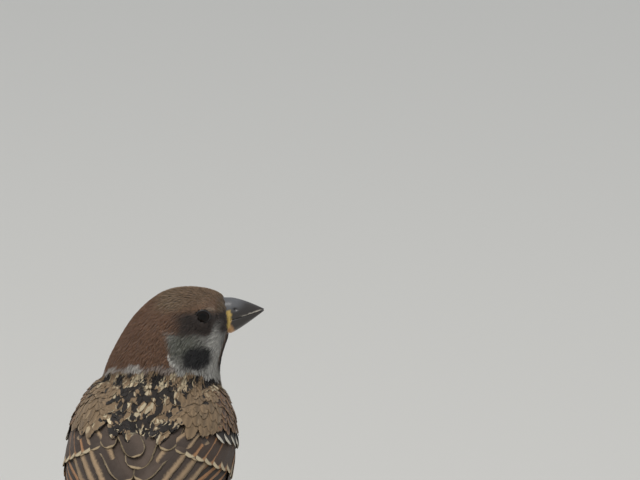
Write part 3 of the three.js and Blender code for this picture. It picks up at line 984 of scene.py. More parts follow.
# %% [markdown]
# ## Feathers of the body
# The mantle is made of broad, ragged feathers. Black and cream streaks run over them and are broken
# where one feather ends and the next begins. Below, the breast and belly are plain and soft. The
# leading part of the wing wears small chestnut coverts with dark middles. Each kind has one function
# that says how its vanes are coloured.

# %% Colour the body's feathers
# Share along the body, then the wing's inner and outer edge in degrees from the back's middle.
WING_EDGES = np.array([[0.11, 62, 92], [0.16, 51, 102], [0.26, 38, 109], [0.45, 16, 112], [0.58, 3, 111],
                       [0.85, 3, 106], [1.0, 6, 98], [1.1, 20, 89], [1.2, 38, 80], [1.32, 52, 66]])
# Where the white bar and the tips of the great coverts lie: degrees, then share.
WHITE_BAR = np.array([[40, 0.50], [50, 0.475], [55, 0.46], [67, 0.42], [83, 0.36], [98, 0.31], [112, 0.27]])
GREAT_BAR = np.array([[20, 0.60], [45, 0.60], [57, 0.58], [67, 0.56], [73.5, 0.53], [83, 0.50],
                      [95, 0.47], [110, 0.43]])
TAIL_ROOT = DRAWING_ORIGIN + np.array([0.0, 29.5, 25.4])


def read_off(table, value, column=1):
    return np.interp(value, table[:, 0], table[:, column])


def body_uv(places):
    share, angle, _ = to_body(places)
    return np.clip(np.stack([angle / 360 + 0.5, (share + 0.1) / 1.5], -1), 0.01, 0.99)


TIP_LIGHT = 0.14


def edge_share(along, spread):
    """1 on the edge and the tip of a vane, falling inwards."""
    return np.maximum(spread ** 2, 1 - (1 - along) * 4.0)


def plain_fields(roots, along, spread, length, half):
    tint = varied(plumage_paint(along_flow(roots, length * 0.5)), 0.07, along.shape)
    rim = np.clip(tint * (1 + TIP_LIGHT * 1.6), 0, 0.9)
    pattern = pattern_of(0 * along, edge_share(along, spread) - 0.25)
    tint_by_row = tint * (1 - TIP_LIGHT + TIP_LIGHT * along[..., None])
    return {"tint": tint_by_row, "rim": rim, "blotch": tint * 0.5, "pattern": pattern}


def mantle_fields(roots, along, spread, length, half):
    """Streaks of the back, broken where one feather ends and the next begins."""
    n, m = along.shape
    normal = settle(roots)[1]
    flow = flow_at(roots, normal)
    places = roots[:, None] + flow[:, None] * (along * length[:, None])[..., None] \
        + np.cross(flow, normal)[:, None] * (spread * half[:, None])[..., None]
    jolt = rng.normal(0, 1, (n, 1, 3)) * np.array([0.4, 0.4, 0.0])
    black, cream, gold = mantle_marks(places, jolt)
    smooth = (rng.random((n, 1)) < 0.8) * gold[:, :1]
    gold = np.repeat(gold[:, m // 2][:, None], m, axis=1)
    black = black - 0.5 * smooth + rng.normal(0, 0.14, (n, 1))
    black = black - 0.9 * ramp(along, 0.95, 1.0) * (rng.random((n, 1)) < 0.4)
    cream = cream + rng.normal(0, 0.12, (n, 1)) + 0.3 * (np.abs(spread) > 0.72)
    buff = mixed(np.broadcast_to(MANTLE_BUFF, (n, m, 3)), SCAPULAR_GOLD, gold)
    buff = buff * rng.normal(1.0, 0.09, (n, 1, 1))
    shaft = 0.3 * spot(spread, 0 * spread, 0.0, 0.0, 0.3, 1.0, 0.9) * (0.4 + 0.6 * gold)
    buff = buff * (1 - shaft)[..., None]
    pale = mixed(np.broadcast_to(MANTLE_CREAM, (n, m, 3)), MANTLE_BUFF, gold * 0.8)
    pale = pale * rng.normal(1.0, 0.1, (n, 1, 1))
    pattern = pattern_of(0.5 + 1.5 * black, 0.5 + 1.5 * cream)
    blotch = colour_rows(MANTLE_BLACK * rng.uniform(0.8, 1.6, (n, 1)), m)
    return {"tint": buff, "rim": pale, "blotch": blotch, "pattern": pattern}


LESSER = paint(112, 84, 62)
LESSER_DARK = paint(60, 47, 39)
LESSER_RIM = paint(136, 110, 84)


def lesser_fields(roots, along, spread, length, half):
    n, m = along.shape
    away = np.sqrt((spread / 0.5) ** 2 + ((along - 0.55) / 0.36) ** 2)
    pattern = pattern_of(0.85 - 0.5 * away, edge_share(along, spread) - 0.1)
    tint = varied(LESSER, 0.12, (n, m))
    rim = varied(LESSER_RIM, 0.1, (n, m))
    blotch = colour_rows(LESSER_DARK * rng.uniform(0.8, 1.4, (n, 1)), m)
    return {"tint": tint, "rim": rim, "blotch": blotch, "pattern": pattern}


print("the white bar crosses 60 degrees at share", round(float(read_off(WHITE_BAR, 60)), 3))

# %% [markdown]
# ## Which feathers grow where
# Roots are only set where no long wing feather will cover them, because hidden feathers cost as much
# as seen ones. The zones are cut by the owner of each face and by its share and angle.

# %% Part the outline into zones
on_wing = owned_by("wing")
off_back = np.abs(face_angle)
white_bar = read_off(WHITE_BAR, off_back)
below_collar = face_height < np.where(off_back < 75, 3.6, 1.2)
body_faces = np.isin(face_owners, ["trunk", "neck"]) & below_collar
lesser_zone = on_wing & (off_back > 60) & (face_share < white_bar - 0.115)
back_end = 0.405 + 0.015 * np.cos(np.radians(off_back * 9))
mantle_zone = (body_faces & (off_back < 62) & (face_share < back_end)) \
    | (on_wing & (off_back <= 60) & (face_share < np.minimum(back_end, white_bar - 0.15)))
# The tail sits in a hollow of the trunk, whose walls stay bare.
tail_way = face_middles - TAIL_ROOT
tail_height = tail_way[:, 2] + 0.23 * tail_way[:, 1]
in_hollow = (tail_way[:, 1] > -1.5) & (np.abs(tail_way[:, 0]) < 5.9) & (np.abs(tail_height) < 2.1)
under_zone = body_faces & ~mantle_zone & ~in_hollow
breast_zone = under_zone & (face_share < 0.42) & (off_back > 42)
under_saddle = (off_back < 42) & (face_share > 0.38) & (face_share < 0.64)
rear_zone = under_zone & ~(face_share < 0.42) & ~under_saddle
print("faces in each zone:", [int(zone.sum()) for zone in (mantle_zone, breast_zone, rear_zone, lesser_zone)])

# %% [markdown]
# ## Cover the zones
# One function lays every kind of contour feather, and only sizes, spacing and colour differ. Feathers
# are smaller towards the neck. One that would climb onto a folded wing is cut short or left out,
# since on a living bird the flank feathers tuck in beside the wing.

# %% Feather the body


def evenly(spacing):
    return lambda places: np.full(len(places), spacing)


def mantle_spacing(places):
    return lerp(0.8, 1.6, ramp(to_body(places)[0], 0.08, 0.34))


def mantle_profile(along):
    return width_profile(along, 0.35, 0.42)


def contour(name, zone, size, width, spacing_at, rows, columns, fields, thickness=0.06,
            nicks=0.16, depth=None, deepest_tip=0.1, fore_scale=1.0, profile=width_profile,
            off_wings=False):
    """Cover a zone with feathers of one kind. Towards the neck they shrink to the fore scale."""
    roots = scatter(np.nonzero(zone)[0], spacing_at)
    scale = lerp(fore_scale, 1.0, ramp(to_body(roots)[0], 0.08, 0.36))
    if off_wings:
        # A feather that would climb onto a wing is left out or cut short.
        ways = march(roots, np.full(len(roots), size), np.linspace(0, 1, 4), np.zeros(len(roots)))[0]
        soon, late = (owned_by("wing", owner_of(ways[:, k])) for k in (1, 3))
        scale = np.where(late, scale * 0.4, scale)[~soon]
        roots = roots[~soon]
    count = len(roots)
    reach = rng.uniform(0.85, 1.15, count) * size * scale
    plumage = Plumage()
    root_depth = coat_depth(roots) + 0.1 if depth is None else np.full(count, depth)
    half = width / 2 * rng.uniform(0.9, 1.1, count) * scale
    tip_depth = rng.uniform(0.0, deepest_tip, count) - 0.3 * toward_tail(roots)
    grow(plumage, roots, reach, half, rows, columns, root_depth, tip_depth, thickness, fields, body_uv,
         yaw_spread=0.1, nicks=nicks, draped=True, profile=profile)
    print(name, count, "feathers")
    return bake_plumage(plumage, name)


coat_pieces += [
    contour("mantle_feathers", mantle_zone, 10.4, 4.5, mantle_spacing, 22, 11,
            mantle_fields, thickness=0.05, nicks=0.24, depth=1.0, fore_scale=0.42,
            profile=mantle_profile),
    contour("breast_feathers", breast_zone, 6.0, 2.4, evenly(1.05), 9, 5,
            plain_fields, off_wings=True),
    contour("belly_feathers", rear_zone, 8.0, 3.1, evenly(1.35), 10, 5,
            plain_fields, off_wings=True),
    contour("lesser_coverts", lesser_zone, 4.6, 2.7, evenly(1.3), 10, 5,
            lesser_fields, thickness=0.1, depth=1.0, deepest_tip=0.35),
]

thigh_roots = scatter(np.nonzero(owned_by("shank"))[0], evenly(0.72))
thigh = Plumage()
thigh_along, _, _ = thigh_share(thigh_roots)
thigh_reach = lerp(3.8, 1.6, ramp(thigh_along, 0.45, 1.0))
grow(thigh, thigh_roots, thigh_reach, thigh_reach * 0.17, 6, 3, coat_depth(thigh_roots) + 0.15,
     0 * thigh_reach + 0.08, 0.07, plain_fields, body_uv, sag_radius=4.0)
coat_pieces.append(bake_plumage(thigh, "thigh_feathers"))

# %% [markdown]
# ## Places on the folded wing
# A long feather is set out by share and angle, and dropped from outside onto the outline. Across the
# groove between the wings the outline is no guide, so there a feather is stretched between plain
# bows through the places where its two edges rest.

# %% Find places for long feathers
SIDES = ((1, "left"), (-1, "right"))
LONG_TILT, LONG_ROOT_WIDTH, LONG_NICKS = 0.12, 0.55, 0.07
LOOSE_FROM = 1.02  # share where the wing tips leave the body
GROOVE_RADIUS = 17.0
UV_COLUMNS, UV_ROWS = 24, 8


def on_outline(share, angle):
    """Drop places onto the outline, straight in towards the middle line."""
    centre, _, dorsal = spine_frame(share)
    turn = np.radians(angle)[..., None]
    outward = dorsal * np.cos(turn) + LEFT * np.sin(turn)
    starts = (centre + outward * 31).reshape(-1, 3)
    aims = -outward.reshape(-1, 3)
    found = np.zeros_like(starts)
    for i, (start, aim_at) in enumerate(zip(starts, aims)):
        hit = ground.ray_cast(Vector(start), Vector(aim_at))[0]
        found[i] = hit if hit is not None else start + aim_at * 22
    return settle(found.reshape(centre.shape))


def wing_angle(share, fraction):
    """The angle at this fraction of the wing's breadth: 0 at the inner edge, 1 at the outer."""
    inner, outer = (read_off(WING_EDGES, share, column) for column in (1, 2))
    return inner + (outer - inner) * fraction


def pairs(at_root, at_tip):
    return np.stack(np.broadcast_arrays(at_root, at_tip), 1)


def smoothed(lines, along):
    """The nearest plain bow to each wavy line of places."""
    bows = [np.polyval(np.polyfit(along, line[:, k], 2), along) for line in lines for k in range(3)]
    return np.array(bows).reshape(len(lines), 3, -1).transpose(0, 2, 1)


def over_groove(share, angle, half, along):
    """Middle lines of plates that span a groove and rest on what lies under their two edges."""
    swing = np.degrees(half / GROOVE_RADIUS)[:, None]
    one, other = (smoothed(on_outline(share, angle + hand * swing)[0], along) for hand in (-1, 1))
    centre = (one + other) / 2
    normal = unit(np.cross(np.gradient(centre, axis=1), other - one))
    return centre, normal * np.sign(normal[..., 2:])


half_way = np.array([0.5])
print("outer edge of the wing half way, mm:", on_outline(half_way, wing_angle(half_way, 1.0))[0].round(1))

# %% [markdown]
# ## One long feather
# A flight feather is stiff and lies in a stack, so it isn't draped. It keeps its own tilt, with the
# outer edge lower, and beyond the body it leaves the outline and runs on straight. Its middle is
# dark, and its pale rim is wider on the outer web.

# %% Shape and colour long feathers
uv_cells_used = 0


def lay_long(plumage, side, shares, angles, half, lifts, thickness, paints, rows=24, columns=9,
             tip_from=0.78, spanning=False):
    """Long feathers by share, angle and lift at root and tip. Every table has a row for each."""
    global uv_cells_used
    n = len(shares)
    half = np.broadcast_to(np.asarray(half, float), n)
    along = row_steps(rows)
    share, angle, lift = (table[:, :1] + (table[:, 1:] - table[:, :1]) * along
                          for table in (shares, angles, lifts))
    angle = angle * side
    centre, normal = over_groove(share, angle, half, along) if spanning else on_outline(share, angle)
    for _ in range(2):
        eased(centre)
    forward = unit(np.gradient(centre, axis=1))
    normal = unit(normal - forward * dot(normal, forward)[..., None])
    c = np.linspace(-1, 1, columns)
    outer = np.cross(forward, normal)
    toward = dot(outer[:, rows // 2], np.broadcast_to(LEFT * side, (n, 3)))
    outer = outer * np.sign(toward)[:, None, None]
    wide = half[:, None] * width_profile(along, LONG_ROOT_WIDTH, tip_from)[None]
    spread = nicked_spread(c, (n, rows), LONG_NICKS)
    across = spread * wide[..., None]
    flat = centre[:, :, None] + outer[:, :, None] * across[..., None]
    found, found_normal = settle(flat)
    hug = ramp(share, LOOSE_FROM + 0.08, LOOSE_FROM - 0.05)[:, :, None, None] * (not spanning)
    found = flat + (found - flat) * hug
    lens = thickness * (1 - c ** 2)
    tilt = LONG_TILT * (c[None, None] - 1) * (half / half.max())[:, None, None]
    raised = lift[..., None] + lens + tilt
    places = found + unit(found_normal * hug + normal[:, :, None] * (1 - hug)) * raised[..., None]
    places = bridged(places, centre, normal, thickness, c)
    length = np.linalg.norm(np.diff(centre, axis=1), axis=-1).sum(axis=1)
    along_all = np.broadcast_to(np.repeat(along, columns)[None], (n, rows * columns))
    spread, across = spread.reshape(n, -1), across.reshape(n, -1)
    cells = uv_cells_used + np.arange(n)[:, None]
    uv_cells_used += n
    uv = np.stack([(cells % UV_COLUMNS + 0.5 + spread * 0.42) / UV_COLUMNS,
                   (cells // UV_COLUMNS + 0.06 + along_all * 0.86) / UV_ROWS], -1)
    fields = paints(along_all, spread, length, half)
    template = vane_template(rows, columns, turned=toward[0] < 0)
    plumage.add(places.reshape(n, -1, 3), template, uv, fields, across, along_all, spread, length)


def edged(centre, rim, rim_width=0.25, outer_extra=0.0, blend=3.0, tip=None, tip_share=0.0,
          shade=0.25, both_webs=True):
    """Fields of a feather with a dark middle, a paler rim, wider on the outer web, and a pale tip."""
    def fields(along, spread, length, half):
        inside = 1 - (rim_width + outer_extra * ramp(spread, -0.2, 0.4))
        edge = ((np.abs(spread) if both_webs else spread) - inside) * blend + 0.5
        aspect = (length / half)[:, None]
        edge = np.maximum(edge, ((1 - (1 - along) * aspect) - inside) * blend + 0.5)
        rims = varied(rim, 0.06, along.shape)
        if tip is not None:
            tip_edge = (along - (1 - tip_share)) * 8.0 + 0.5
            rims = mixed(rims, np.broadcast_to(tip, rims.shape), ramp(tip_edge, 0.1, 0.5))
            edge = np.maximum(edge, tip_edge)
        pattern = pattern_of(-1 + 0 * along, edge)
        light = 1 + shade * (0.5 - ramp(spread, -0.7, 0.7)) + shade * 0.6 * (0.5 - along)
        tint = varied(centre, 0.07, along.shape) * light[..., None]
        return {"tint": tint, "rim": rims, "blotch": tint, "pattern": pattern}
    return fields


print("bake map cells for long feathers:", UV_COLUMNS * UV_ROWS)

# %% [markdown]
# ## The long feathers of the folded wing
# Each one is given: where its root and tip lie on the wing, how wide it is and how deep in the
# stack. In a folded wing the innermost feather is on top, so the stack rises inwards and only the
# outer edge of each feather shows.

# %% Lay the wing feathers
QUILL_DARK = paint(60, 52, 46)
QUILL_RIM = paint(150, 120, 90)
RUFOUS = paint(152, 112, 78)
TERTIAL_DARK = paint(70, 59, 52)
TERTIAL_RIM = paint(154, 130, 102)
GREAT_DARK = paint(72, 58, 49)
BAR_WHITE = paint(196, 188, 172)
BAR_BLACK = paint(36, 30, 28)
SCALLOP_DARK = paint(82, 69, 60)
SCALLOP_RIM = paint(164, 144, 114)
PRIMARY_TIPS = np.array([0.99, 1.03, 1.07, 1.11, 1.15, 1.19, 1.22, 1.24, 1.21])
GREAT_TIPS = np.array([97, 88, 79.5, 71.5, 64, 56.5, 49, 41])
# The right wing shows more of its white bar than the left.
BAR_TIPS = {"left": np.array([107, 100.5, 94, 87.5, 81.5]), "right": np.array([101, 93, 85, 77, 69.5, 62])}
SCALLOP_TIPS = np.array([46, 34, 22])

long_pieces = []
for side, label in SIDES:
    quills = Plumage()
    k = np.arange(9)  # primaries, from the innermost
    lay_long(quills, side, pairs(0.5, PRIMARY_TIPS),
             pairs(94 + 1.9 * k, wing_angle(PRIMARY_TIPS, 0.52 + 0.03 * k)), 2.1,
             pairs(-1.75 - 0.07 * k, -0.75 - 0.1 * k), 0.12,
             edged(QUILL_DARK, QUILL_RIM, 0.12, 0.12, both_webs=False))
    k = np.arange(6)[::-1]  # secondaries, from the outermost
    lay_long(quills, side, pairs(0.45, 0.98 + 0.012 * k), pairs(66 + 6.0 * k, 17 + 5.5 * k), 3.2,
             pairs(-1.15 - 0.08 * k, -0.75 - 0.08 * k), 0.12,
             edged(QUILL_DARK, RUFOUS, 0.16, 0.26, both_webs=False))
    long_pieces.append(bake_plumage(quills, f"wing_{label}_quills",
                                    [f"wing_{label}_outer_quills"]))

    shield = Plumage()
    # The three tertials lie over the quills and are the broadest.
    lay_long(shield, side, np.array([[0.47, 0.99], [0.46, 0.91], [0.45, 0.82]]),
             np.array([[60, 23], [51, 19], [43, 16]]), [4.0, 4.1, 3.7],
             np.array([[-1.0, -0.6], [-0.8, -0.45], [-0.6, -0.3]]), 0.13,
             edged(TERTIAL_DARK, TERTIAL_RIM, 0.42, 0.04, blend=0.8), tip_from=0.82)
    k = np.arange(5)[::-1]  # coverts of the primaries, low on the wing
    lay_long(shield, side, pairs(0.36, 0.62 - 0.02 * k), pairs(104 - 2.0 * k, 103 - 4.0 * k), 1.5,
             pairs(-1.0 + 0.05 * k, -0.75 + 0.04 * k), 0.1, edged(QUILL_DARK, QUILL_RIM, 0.2),
             rows=14, columns=7)
    great = read_off(GREAT_BAR, GREAT_TIPS)
    lay_long(shield, side, pairs(great - 0.21, great), pairs(GREAT_TIPS + 11, GREAT_TIPS), 2.6,
             pairs(-1.2, -0.42 + 0.02 * np.arange(len(great))), 0.12,
             edged(GREAT_DARK, RUFOUS, 0.3, 0.2, 1.2, MANTLE_CREAM, 0.08), rows=18)
    tips = BAR_TIPS[label]
    bar = read_off(WHITE_BAR, tips)
    lay_long(shield, side, pairs(bar - 0.13, bar), pairs(tips + 6, tips), 2.3,
             pairs(-1.5, -0.05 + 0.012 * np.arange(len(bar))), 0.14,
             edged(BAR_BLACK * 1.3, BAR_BLACK * 1.8, 0.1, 0.0, 3.0, BAR_WHITE, 0.12), rows=18)
    # Pale-edged scallops carry the bar of the great coverts inwards over the tertials.
    lay_long(shield, side, pairs(0.36, np.array([0.6, 0.6, 0.605])), pairs(SCALLOP_TIPS + 10, SCALLOP_TIPS),
             [2.8, 3.1, 3.1], pairs(-1.7, -0.35 + 0.06 * np.arange(3)), 0.14,
             edged(SCALLOP_DARK, SCALLOP_RIM, 0.2, shade=0.4), rows=20, tip_from=0.72)
    long_pieces.append(bake_plumage(shield, f"wing_{label}_coverts_laid",
                                    [f"wing_{label}_coverts", f"wing_{label}_inner_quills"]))

# Four broad feathers of the lower back close the groove between the wings.
saddle = Plumage()
lay_long(saddle, 1, np.array([[0.42, 0.75], [0.44, 0.76], [0.40, 0.65], [0.42, 0.70]]),
         np.array([[-34.0, -6.0], [36.0, 5.0], [18.0, -2.0], [-8.0, -1.0]]), [3.8, 3.9, 3.4, 4.2],
         np.array([[-1.1, 0.45], [-1.0, 0.6], [-1.5, 0.75], [-1.6, 0.15]]), 0.15,
         edged(SCALLOP_DARK, SCALLOP_RIM, 0.15, shade=0.45), rows=22, tip_from=0.76, spanning=True)
long_pieces.append(bake_plumage(saddle, "saddle_feathers"))

# %% [markdown]
# ## The tail
# Twelve feathers fan a little from the root, the middle pair on top and slightly the shortest, which
# gives the tail its notch. Short coverts above and below carry the body's roundness out over its root.

# %% Lay the tail
TAIL_DROP = math.radians(13)
TAIL_LENGTH = 56.0
TAIL_NOTCH = 3.2
TAIL_ROWS, TAIL_COLUMNS = 30, 9
TAIL_DARK, TAIL_RIM = paint(74, 63, 54), paint(150, 126, 98)
# Distance from the tail's root, then height of the coverts above or below it.
UPPER_LINE = np.array([[3.0, 6.0], [6.0, 5.2], [9.0, 4.5], [12.0, 3.9], [15.0, 3.0], [18.0, 2.1],
                       [24.0, 1.2]])
UNDER_LINE = np.array([[3.0, -5.2], [6.0, -4.7], [9.0, -4.3], [12.0, -3.8], [16.0, -3.0], [20.0, -2.0],
                       [28.0, -1.1]])
ROOT_HALF = 4.9
tail_back = np.array([0.0, math.cos(TAIL_DROP), -math.sin(TAIL_DROP)])
tail_up = np.array([0.0, math.sin(TAIL_DROP), math.cos(TAIL_DROP)])


def tail_plate(plumage, start, length, sideways_at, height_at, half, fields_of, cell, below=False,
               tip_from=0.86):
    """One feather laid in the tail's own axes: back along the tail, sideways and up."""
    along = np.linspace(0, 1, TAIL_ROWS) ** 0.9
    c = np.linspace(-1, 1, TAIL_COLUMNS)
    spread = nicked_spread(c, (TAIL_ROWS,), 0.08)
    across = spread * half * width_profile(along, 0.6, tip_from)[:, None]
    sideways = sideways_at(along)[:, None] + across
    lens = 0.1 * (1 - c ** 2)[None] * (-1 if below else 1)
    lift = height_at(along[:, None], sideways, spread) + lens
    places = TAIL_ROOT + np.multiply.outer(start + along * length, tail_back)[:, None] \
        + sideways[..., None] * LEFT + lift[..., None] * tail_up
    along_all = np.repeat(along, TAIL_COLUMNS)[None]
    spread, across, lengths = spread.reshape(1, -1), across.reshape(1, -1), np.array([length])
    fields = fields_of(along_all, spread, lengths, np.array([half]))
    uv = np.stack([(cell % 12 + 0.5 + spread * 0.45) / 12, (cell // 12 + 0.05 + along_all * 0.9) / 4], -1)
    template = vane_template(TAIL_ROWS, TAIL_COLUMNS, turned=not below)
    plumage.add(places.reshape(1, -1, 3), template, uv, fields, across, along_all, spread, lengths)


tail = Plumage()
for pair in range(6):
    for side, _ in SIDES:
        fan = side * (0.25 + pair / 5.0)
        reach = TAIL_LENGTH - TAIL_NOTCH * (1 - (pair / 5.0)) ** 1.5 - (0.8 if pair == 5 else 0.0) - 0.3
        height = 0.78 - 0.27 * pair + (0.08 if side > 0 else 0.0)
        tail_plate(tail, 0.0, reach, lambda t: fan * lerp(2.0, 5.0, t ** 1.3) * 1.02,
                   lambda t, sideways, spread: height - 0.12 * abs(fan) * spread * side, 2.25,
                   edged(TAIL_DARK, TAIL_RIM, 0.16), pair * 2 + (side > 0))
for row, (line, colour) in enumerate(((UPPER_LINE, RUMP), (UNDER_LINE, BELLY))):
    cover_paint = edged(colour * 0.78, colour * 0.98, 0.3, blend=1.0)
    for layer in range(3):
        for place in range(5):
            x = (place - 2) * 1.8 + (0.7 if layer == 1 else 0.0)
            start, length = 3.0 + 3.0 * (2 - layer), 11.5 + row * 2 - 1.1 * abs(x)
            stack = (0.12 * layer + 0.02 * place) * (1 - 2 * row)
            tail_plate(tail, start, length, lambda t: x * lerp(1.05, 0.8, t),
                       lambda t, sideways, spread: read_off(line, start + t * length)
                       * np.sqrt(np.clip(1 - (sideways / ROOT_HALF) ** 2, 0.1, 1)) + stack,
                       1.9, cover_paint, 12 + row * 15 + layer * 5 + place, row == 1, 0.66)
long_pieces.append(bake_plumage(tail, "tail_feathers", ["tail"]))

# %% [markdown]
# ## Skins over rings
# Bill, lids, eyes and claws are all smooth skins over a row of rings, capped at both ends or closed
# into a loop. One pair of functions makes them all, from plain places worked out in millimetres.

# %% Loft hard pieces


def place_mesh(name, places, faces, replaced=()):
    mesh = bpy.data.meshes.new(name)
    mesh.from_pydata(np.asarray(places) * MM, [], faces)
    mesh.update()
    return put_in_place(name, mesh, replaced)


def lofted(rings, closed_loop=False):
    """Faces of a closed skin over rings of equal length: capped at both ends, or a closed loop."""
    count, size = rings.shape[:2]

    def at(r, i):
        return r % count * size + i % size

    faces = [(at(r, i), at(r, i + 1), at(r + 1, i + 1), at(r + 1, i))
             for r in range(count if closed_loop else count - 1) for i in range(size)]
    if closed_loop:
        return faces
    return faces + [tuple(range(size - 1, -1, -1)), tuple(at(count - 1, i) for i in range(size))]


def turned_over(faces, wanted=True):
    return [face[::-1] for face in faces] if wanted else faces


def tube(line, radii, beside, spokes=14):
    """A round rod along a line of places, closed at both ends. The line never runs along beside."""
    heading = unit(np.gradient(line, axis=0))
    first = unit(np.cross(heading, beside))
    second = np.cross(heading, first)
    turn = np.linspace(0, 2 * math.pi, spokes, endpoint=False)
    rings = line[:, None] + radii[:, None, None] * (
        np.cos(turn)[None, :, None] * first[:, None] + np.sin(turn)[None, :, None] * second[:, None])
    return rings.reshape(-1, 3), lofted(rings)


print("faces of a rod of 3 rings:", len(tube(np.eye(3), np.ones(3), np.ones(3))[1]))

# %% [markdown]
# ## The bill
# A young bird's bill is short and wedge-shaped, dark horn with a yellow base. Each half is a vault
# over the line where they meet, with a keel along the ridge and a dent for each nostril.

# %% Build the bill
GAPE_FORWARD, GAPE_UP = 11.0, 1.9
BILL_START, BILL_END = 12.4, 21.6
BILL_HIDDEN = 3.2  # the part that is set into the head
BILL_END_UP, BILL_END_HALF = 4.5, 0.3
BILL_HALF = 3.7
NOSTRIL_FORWARD, NOSTRIL_UP = 13.5, 5.2


def parting_up(forward):
    return lerp(GAPE_UP, BILL_END_UP, (forward - GAPE_FORWARD) / (BILL_END - GAPE_FORWARD))


def bill_half_width(forward):
    out = np.clip((forward - BILL_START) / (BILL_END - BILL_START), 0, 1)
    return lerp(BILL_HALF, BILL_END_HALF, out ** 1.35)


def bill_half(name, base, curve, node):
    away = math.copysign(1.0, base - GAPE_UP)
    forward = np.linspace(BILL_START - BILL_HIDDEN, BILL_END, 110)[:, None]
    out = np.clip((forward - BILL_START) / (BILL_END - BILL_START), 0, 1)
    edge = lerp(base, BILL_END_UP + away * BILL_END_HALF, out ** curve)
    turn = np.linspace(0, math.pi, 65)[None]
    arch = np.sin(turn).clip(0) ** 0.75
    if away > 0:
        # The ridge of the upper half is a little keeled.
        arch = arch + 0.04 * np.exp(-((turn - math.pi / 2) / 0.16) ** 2) * (1 - out)
    up = lerp(parting_up(forward) + away * 0.1, edge, arch)
    sideways = bill_half_width(forward) * np.cos(turn) * (1 - 0.02 * (1 - arch))
    if away > 0:
        nostril = np.exp(-((forward - NOSTRIL_FORWARD) / 0.75) ** 2 - ((up - NOSTRIL_UP) / 0.42) ** 2)
        sideways = sideways * (1 - 0.2 * nostril)
    rings = from_head(forward + 0 * up, up, sideways)
    return place_mesh(name, rings.reshape(-1, 3), turned_over(lofted(rings), away > 0), [node])


bill_pieces = [
    bill_half("upper_bill", 7.8, 1.5, "bill_upper"),
    bill_half("lower_bill", -2.1, 1.15, "bill_lower"),
]
print("bill reaches", BILL_TIP.round(1))

# %% [markdown]
# ## The corner of the mouth
# A soft swollen rim of yellow skin, left over from the nest, runs round the corner of the mouth. It
# is a thin rod that tapers to nothing at both ends, bent round the bill's sides.

# %% Build the gape
# Forward and up from the skull, then thickness.
GAPE_LIP = np.array([[11.4, -0.5, 0.04], [11.8, 1.2, 0.46], [11.85, 2.8, 0.46], [11.4, 4.8, 0.04]])
lip = np.stack([np.interp(np.linspace(0, 3, 36), range(4), knots) for knots in GAPE_LIP.T])
for _ in range(10):
    eased(lip)
forward, up, thick = lip
out = bill_half_width(forward) * lerp(1.0, 0.95, ramp(np.abs(up - parting_up(forward)), 0.4, 2.6))
gape_places, gape_faces = [], []
for side in (1, -1):
    places, faces = tube(from_head(forward, up, side * (out - 0.65 * thick)), thick, HEAD_OUT)
    start = sum(len(p) for p in gape_places)
    gape_faces += [tuple(i + start for i in face) for face in faces]
    gape_places.append(places)
gape = place_mesh("gape_rim", np.vstack(gape_places), gape_faces)
print("gape rim:", len(gape_faces), "faces")

# %% [markdown]
# ## The eyes
# The ball is dark and wet and sits deep, so that only its front shows in the opening of the lids. The
# lids are one soft bare ring that hugs the ball and dives under the feathers. It is a little longer
# than it is high.

# %% Build the eyes and lids
# How far from the eye's axis and how high above its middle, from the opening outwards.
LID_REACH = np.array([1.66, 1.68, 1.74, 1.82, 1.92, 2.04, 2.16, 2.30, 2.44, 2.56, 2.64])
LID_HEIGHT = np.array([2.50, 2.64, 2.68, 2.62, 2.46, 2.20, 1.90, 1.50, 1.05, 0.6, 0.2])
LID_THICKNESS = 0.3


def eye_rings(reach, height, turn, side, label):
    """Rings round the axis of an eye. The reach may change round a ring."""
    around = np.cos(turn)[None, :, None] * HEAD_FORWARD + np.sin(turn)[None, :, None] * HEAD_UP
    return eye_places[label] + height[:, None, None] * HEAD_OUT * side + reach[..., None] * around


def eye_ball(side, label):
    over = np.linspace(0, math.pi, 33)
    turn = np.linspace(0, 2 * math.pi, 48, endpoint=False)
    # Behind the opening of the lids the ball draws in, so that the lids can dive round it.
    radius = EYE_RADIUS - 0.04 - 0.42 * ramp(over, 0.72, 1.0)
    rings = eye_rings((np.sin(over) * radius)[:, None], np.cos(over) * radius, turn, side, label)
    faces = turned_over(lofted(rings), side < 0)
    return place_mesh(f"eyeball_{label}", rings.reshape(-1, 3), faces, [f"eye_{label}"])


def eye_lids(side, label):
    turn = np.linspace(0, 2 * math.pi, 72, endpoint=False)
    crease = 1 + 0.006 * np.sin(turn * 31)[None] * ramp(LID_REACH, 1.7, 1.9)[:, None]
    wide = 1 + 0.08 * np.cos(turn) ** 2 - 0.06 * np.sin(turn) ** 2
    reach = LID_REACH[:, None] * crease * wide[None]
    outer = eye_rings(reach, LID_HEIGHT, turn, side, label)
    inner = eye_rings(reach * 0.985, LID_HEIGHT - LID_THICKNESS, turn, side, label)
    shell = np.concatenate([outer, inner[::-1]])
    faces = turned_over(lofted(shell, closed_loop=True), side > 0)
    return place_mesh(f"eyelids_{label}", shell.reshape(-1, 3), faces)


EYE_SIDES = ((1, "right"), (-1, "left"))
eye_pieces = [eye_ball(*eye) for eye in EYE_SIDES]
lid_pieces = [eye_lids(*eye) for eye in EYE_SIDES]
print("eyes and lids:", len(eye_pieces), len(lid_pieces))

# %% [markdown]
# ## Claws
# Each claw is a short hook, deeper than wide, that leaves the toe level and comes down to a point on
# the ground.

# %% Build the claws
SOLE = DRAWING_ORIGIN + np.array([10.4, -0.8, 1.5])
FOOT_OUT = 9.0
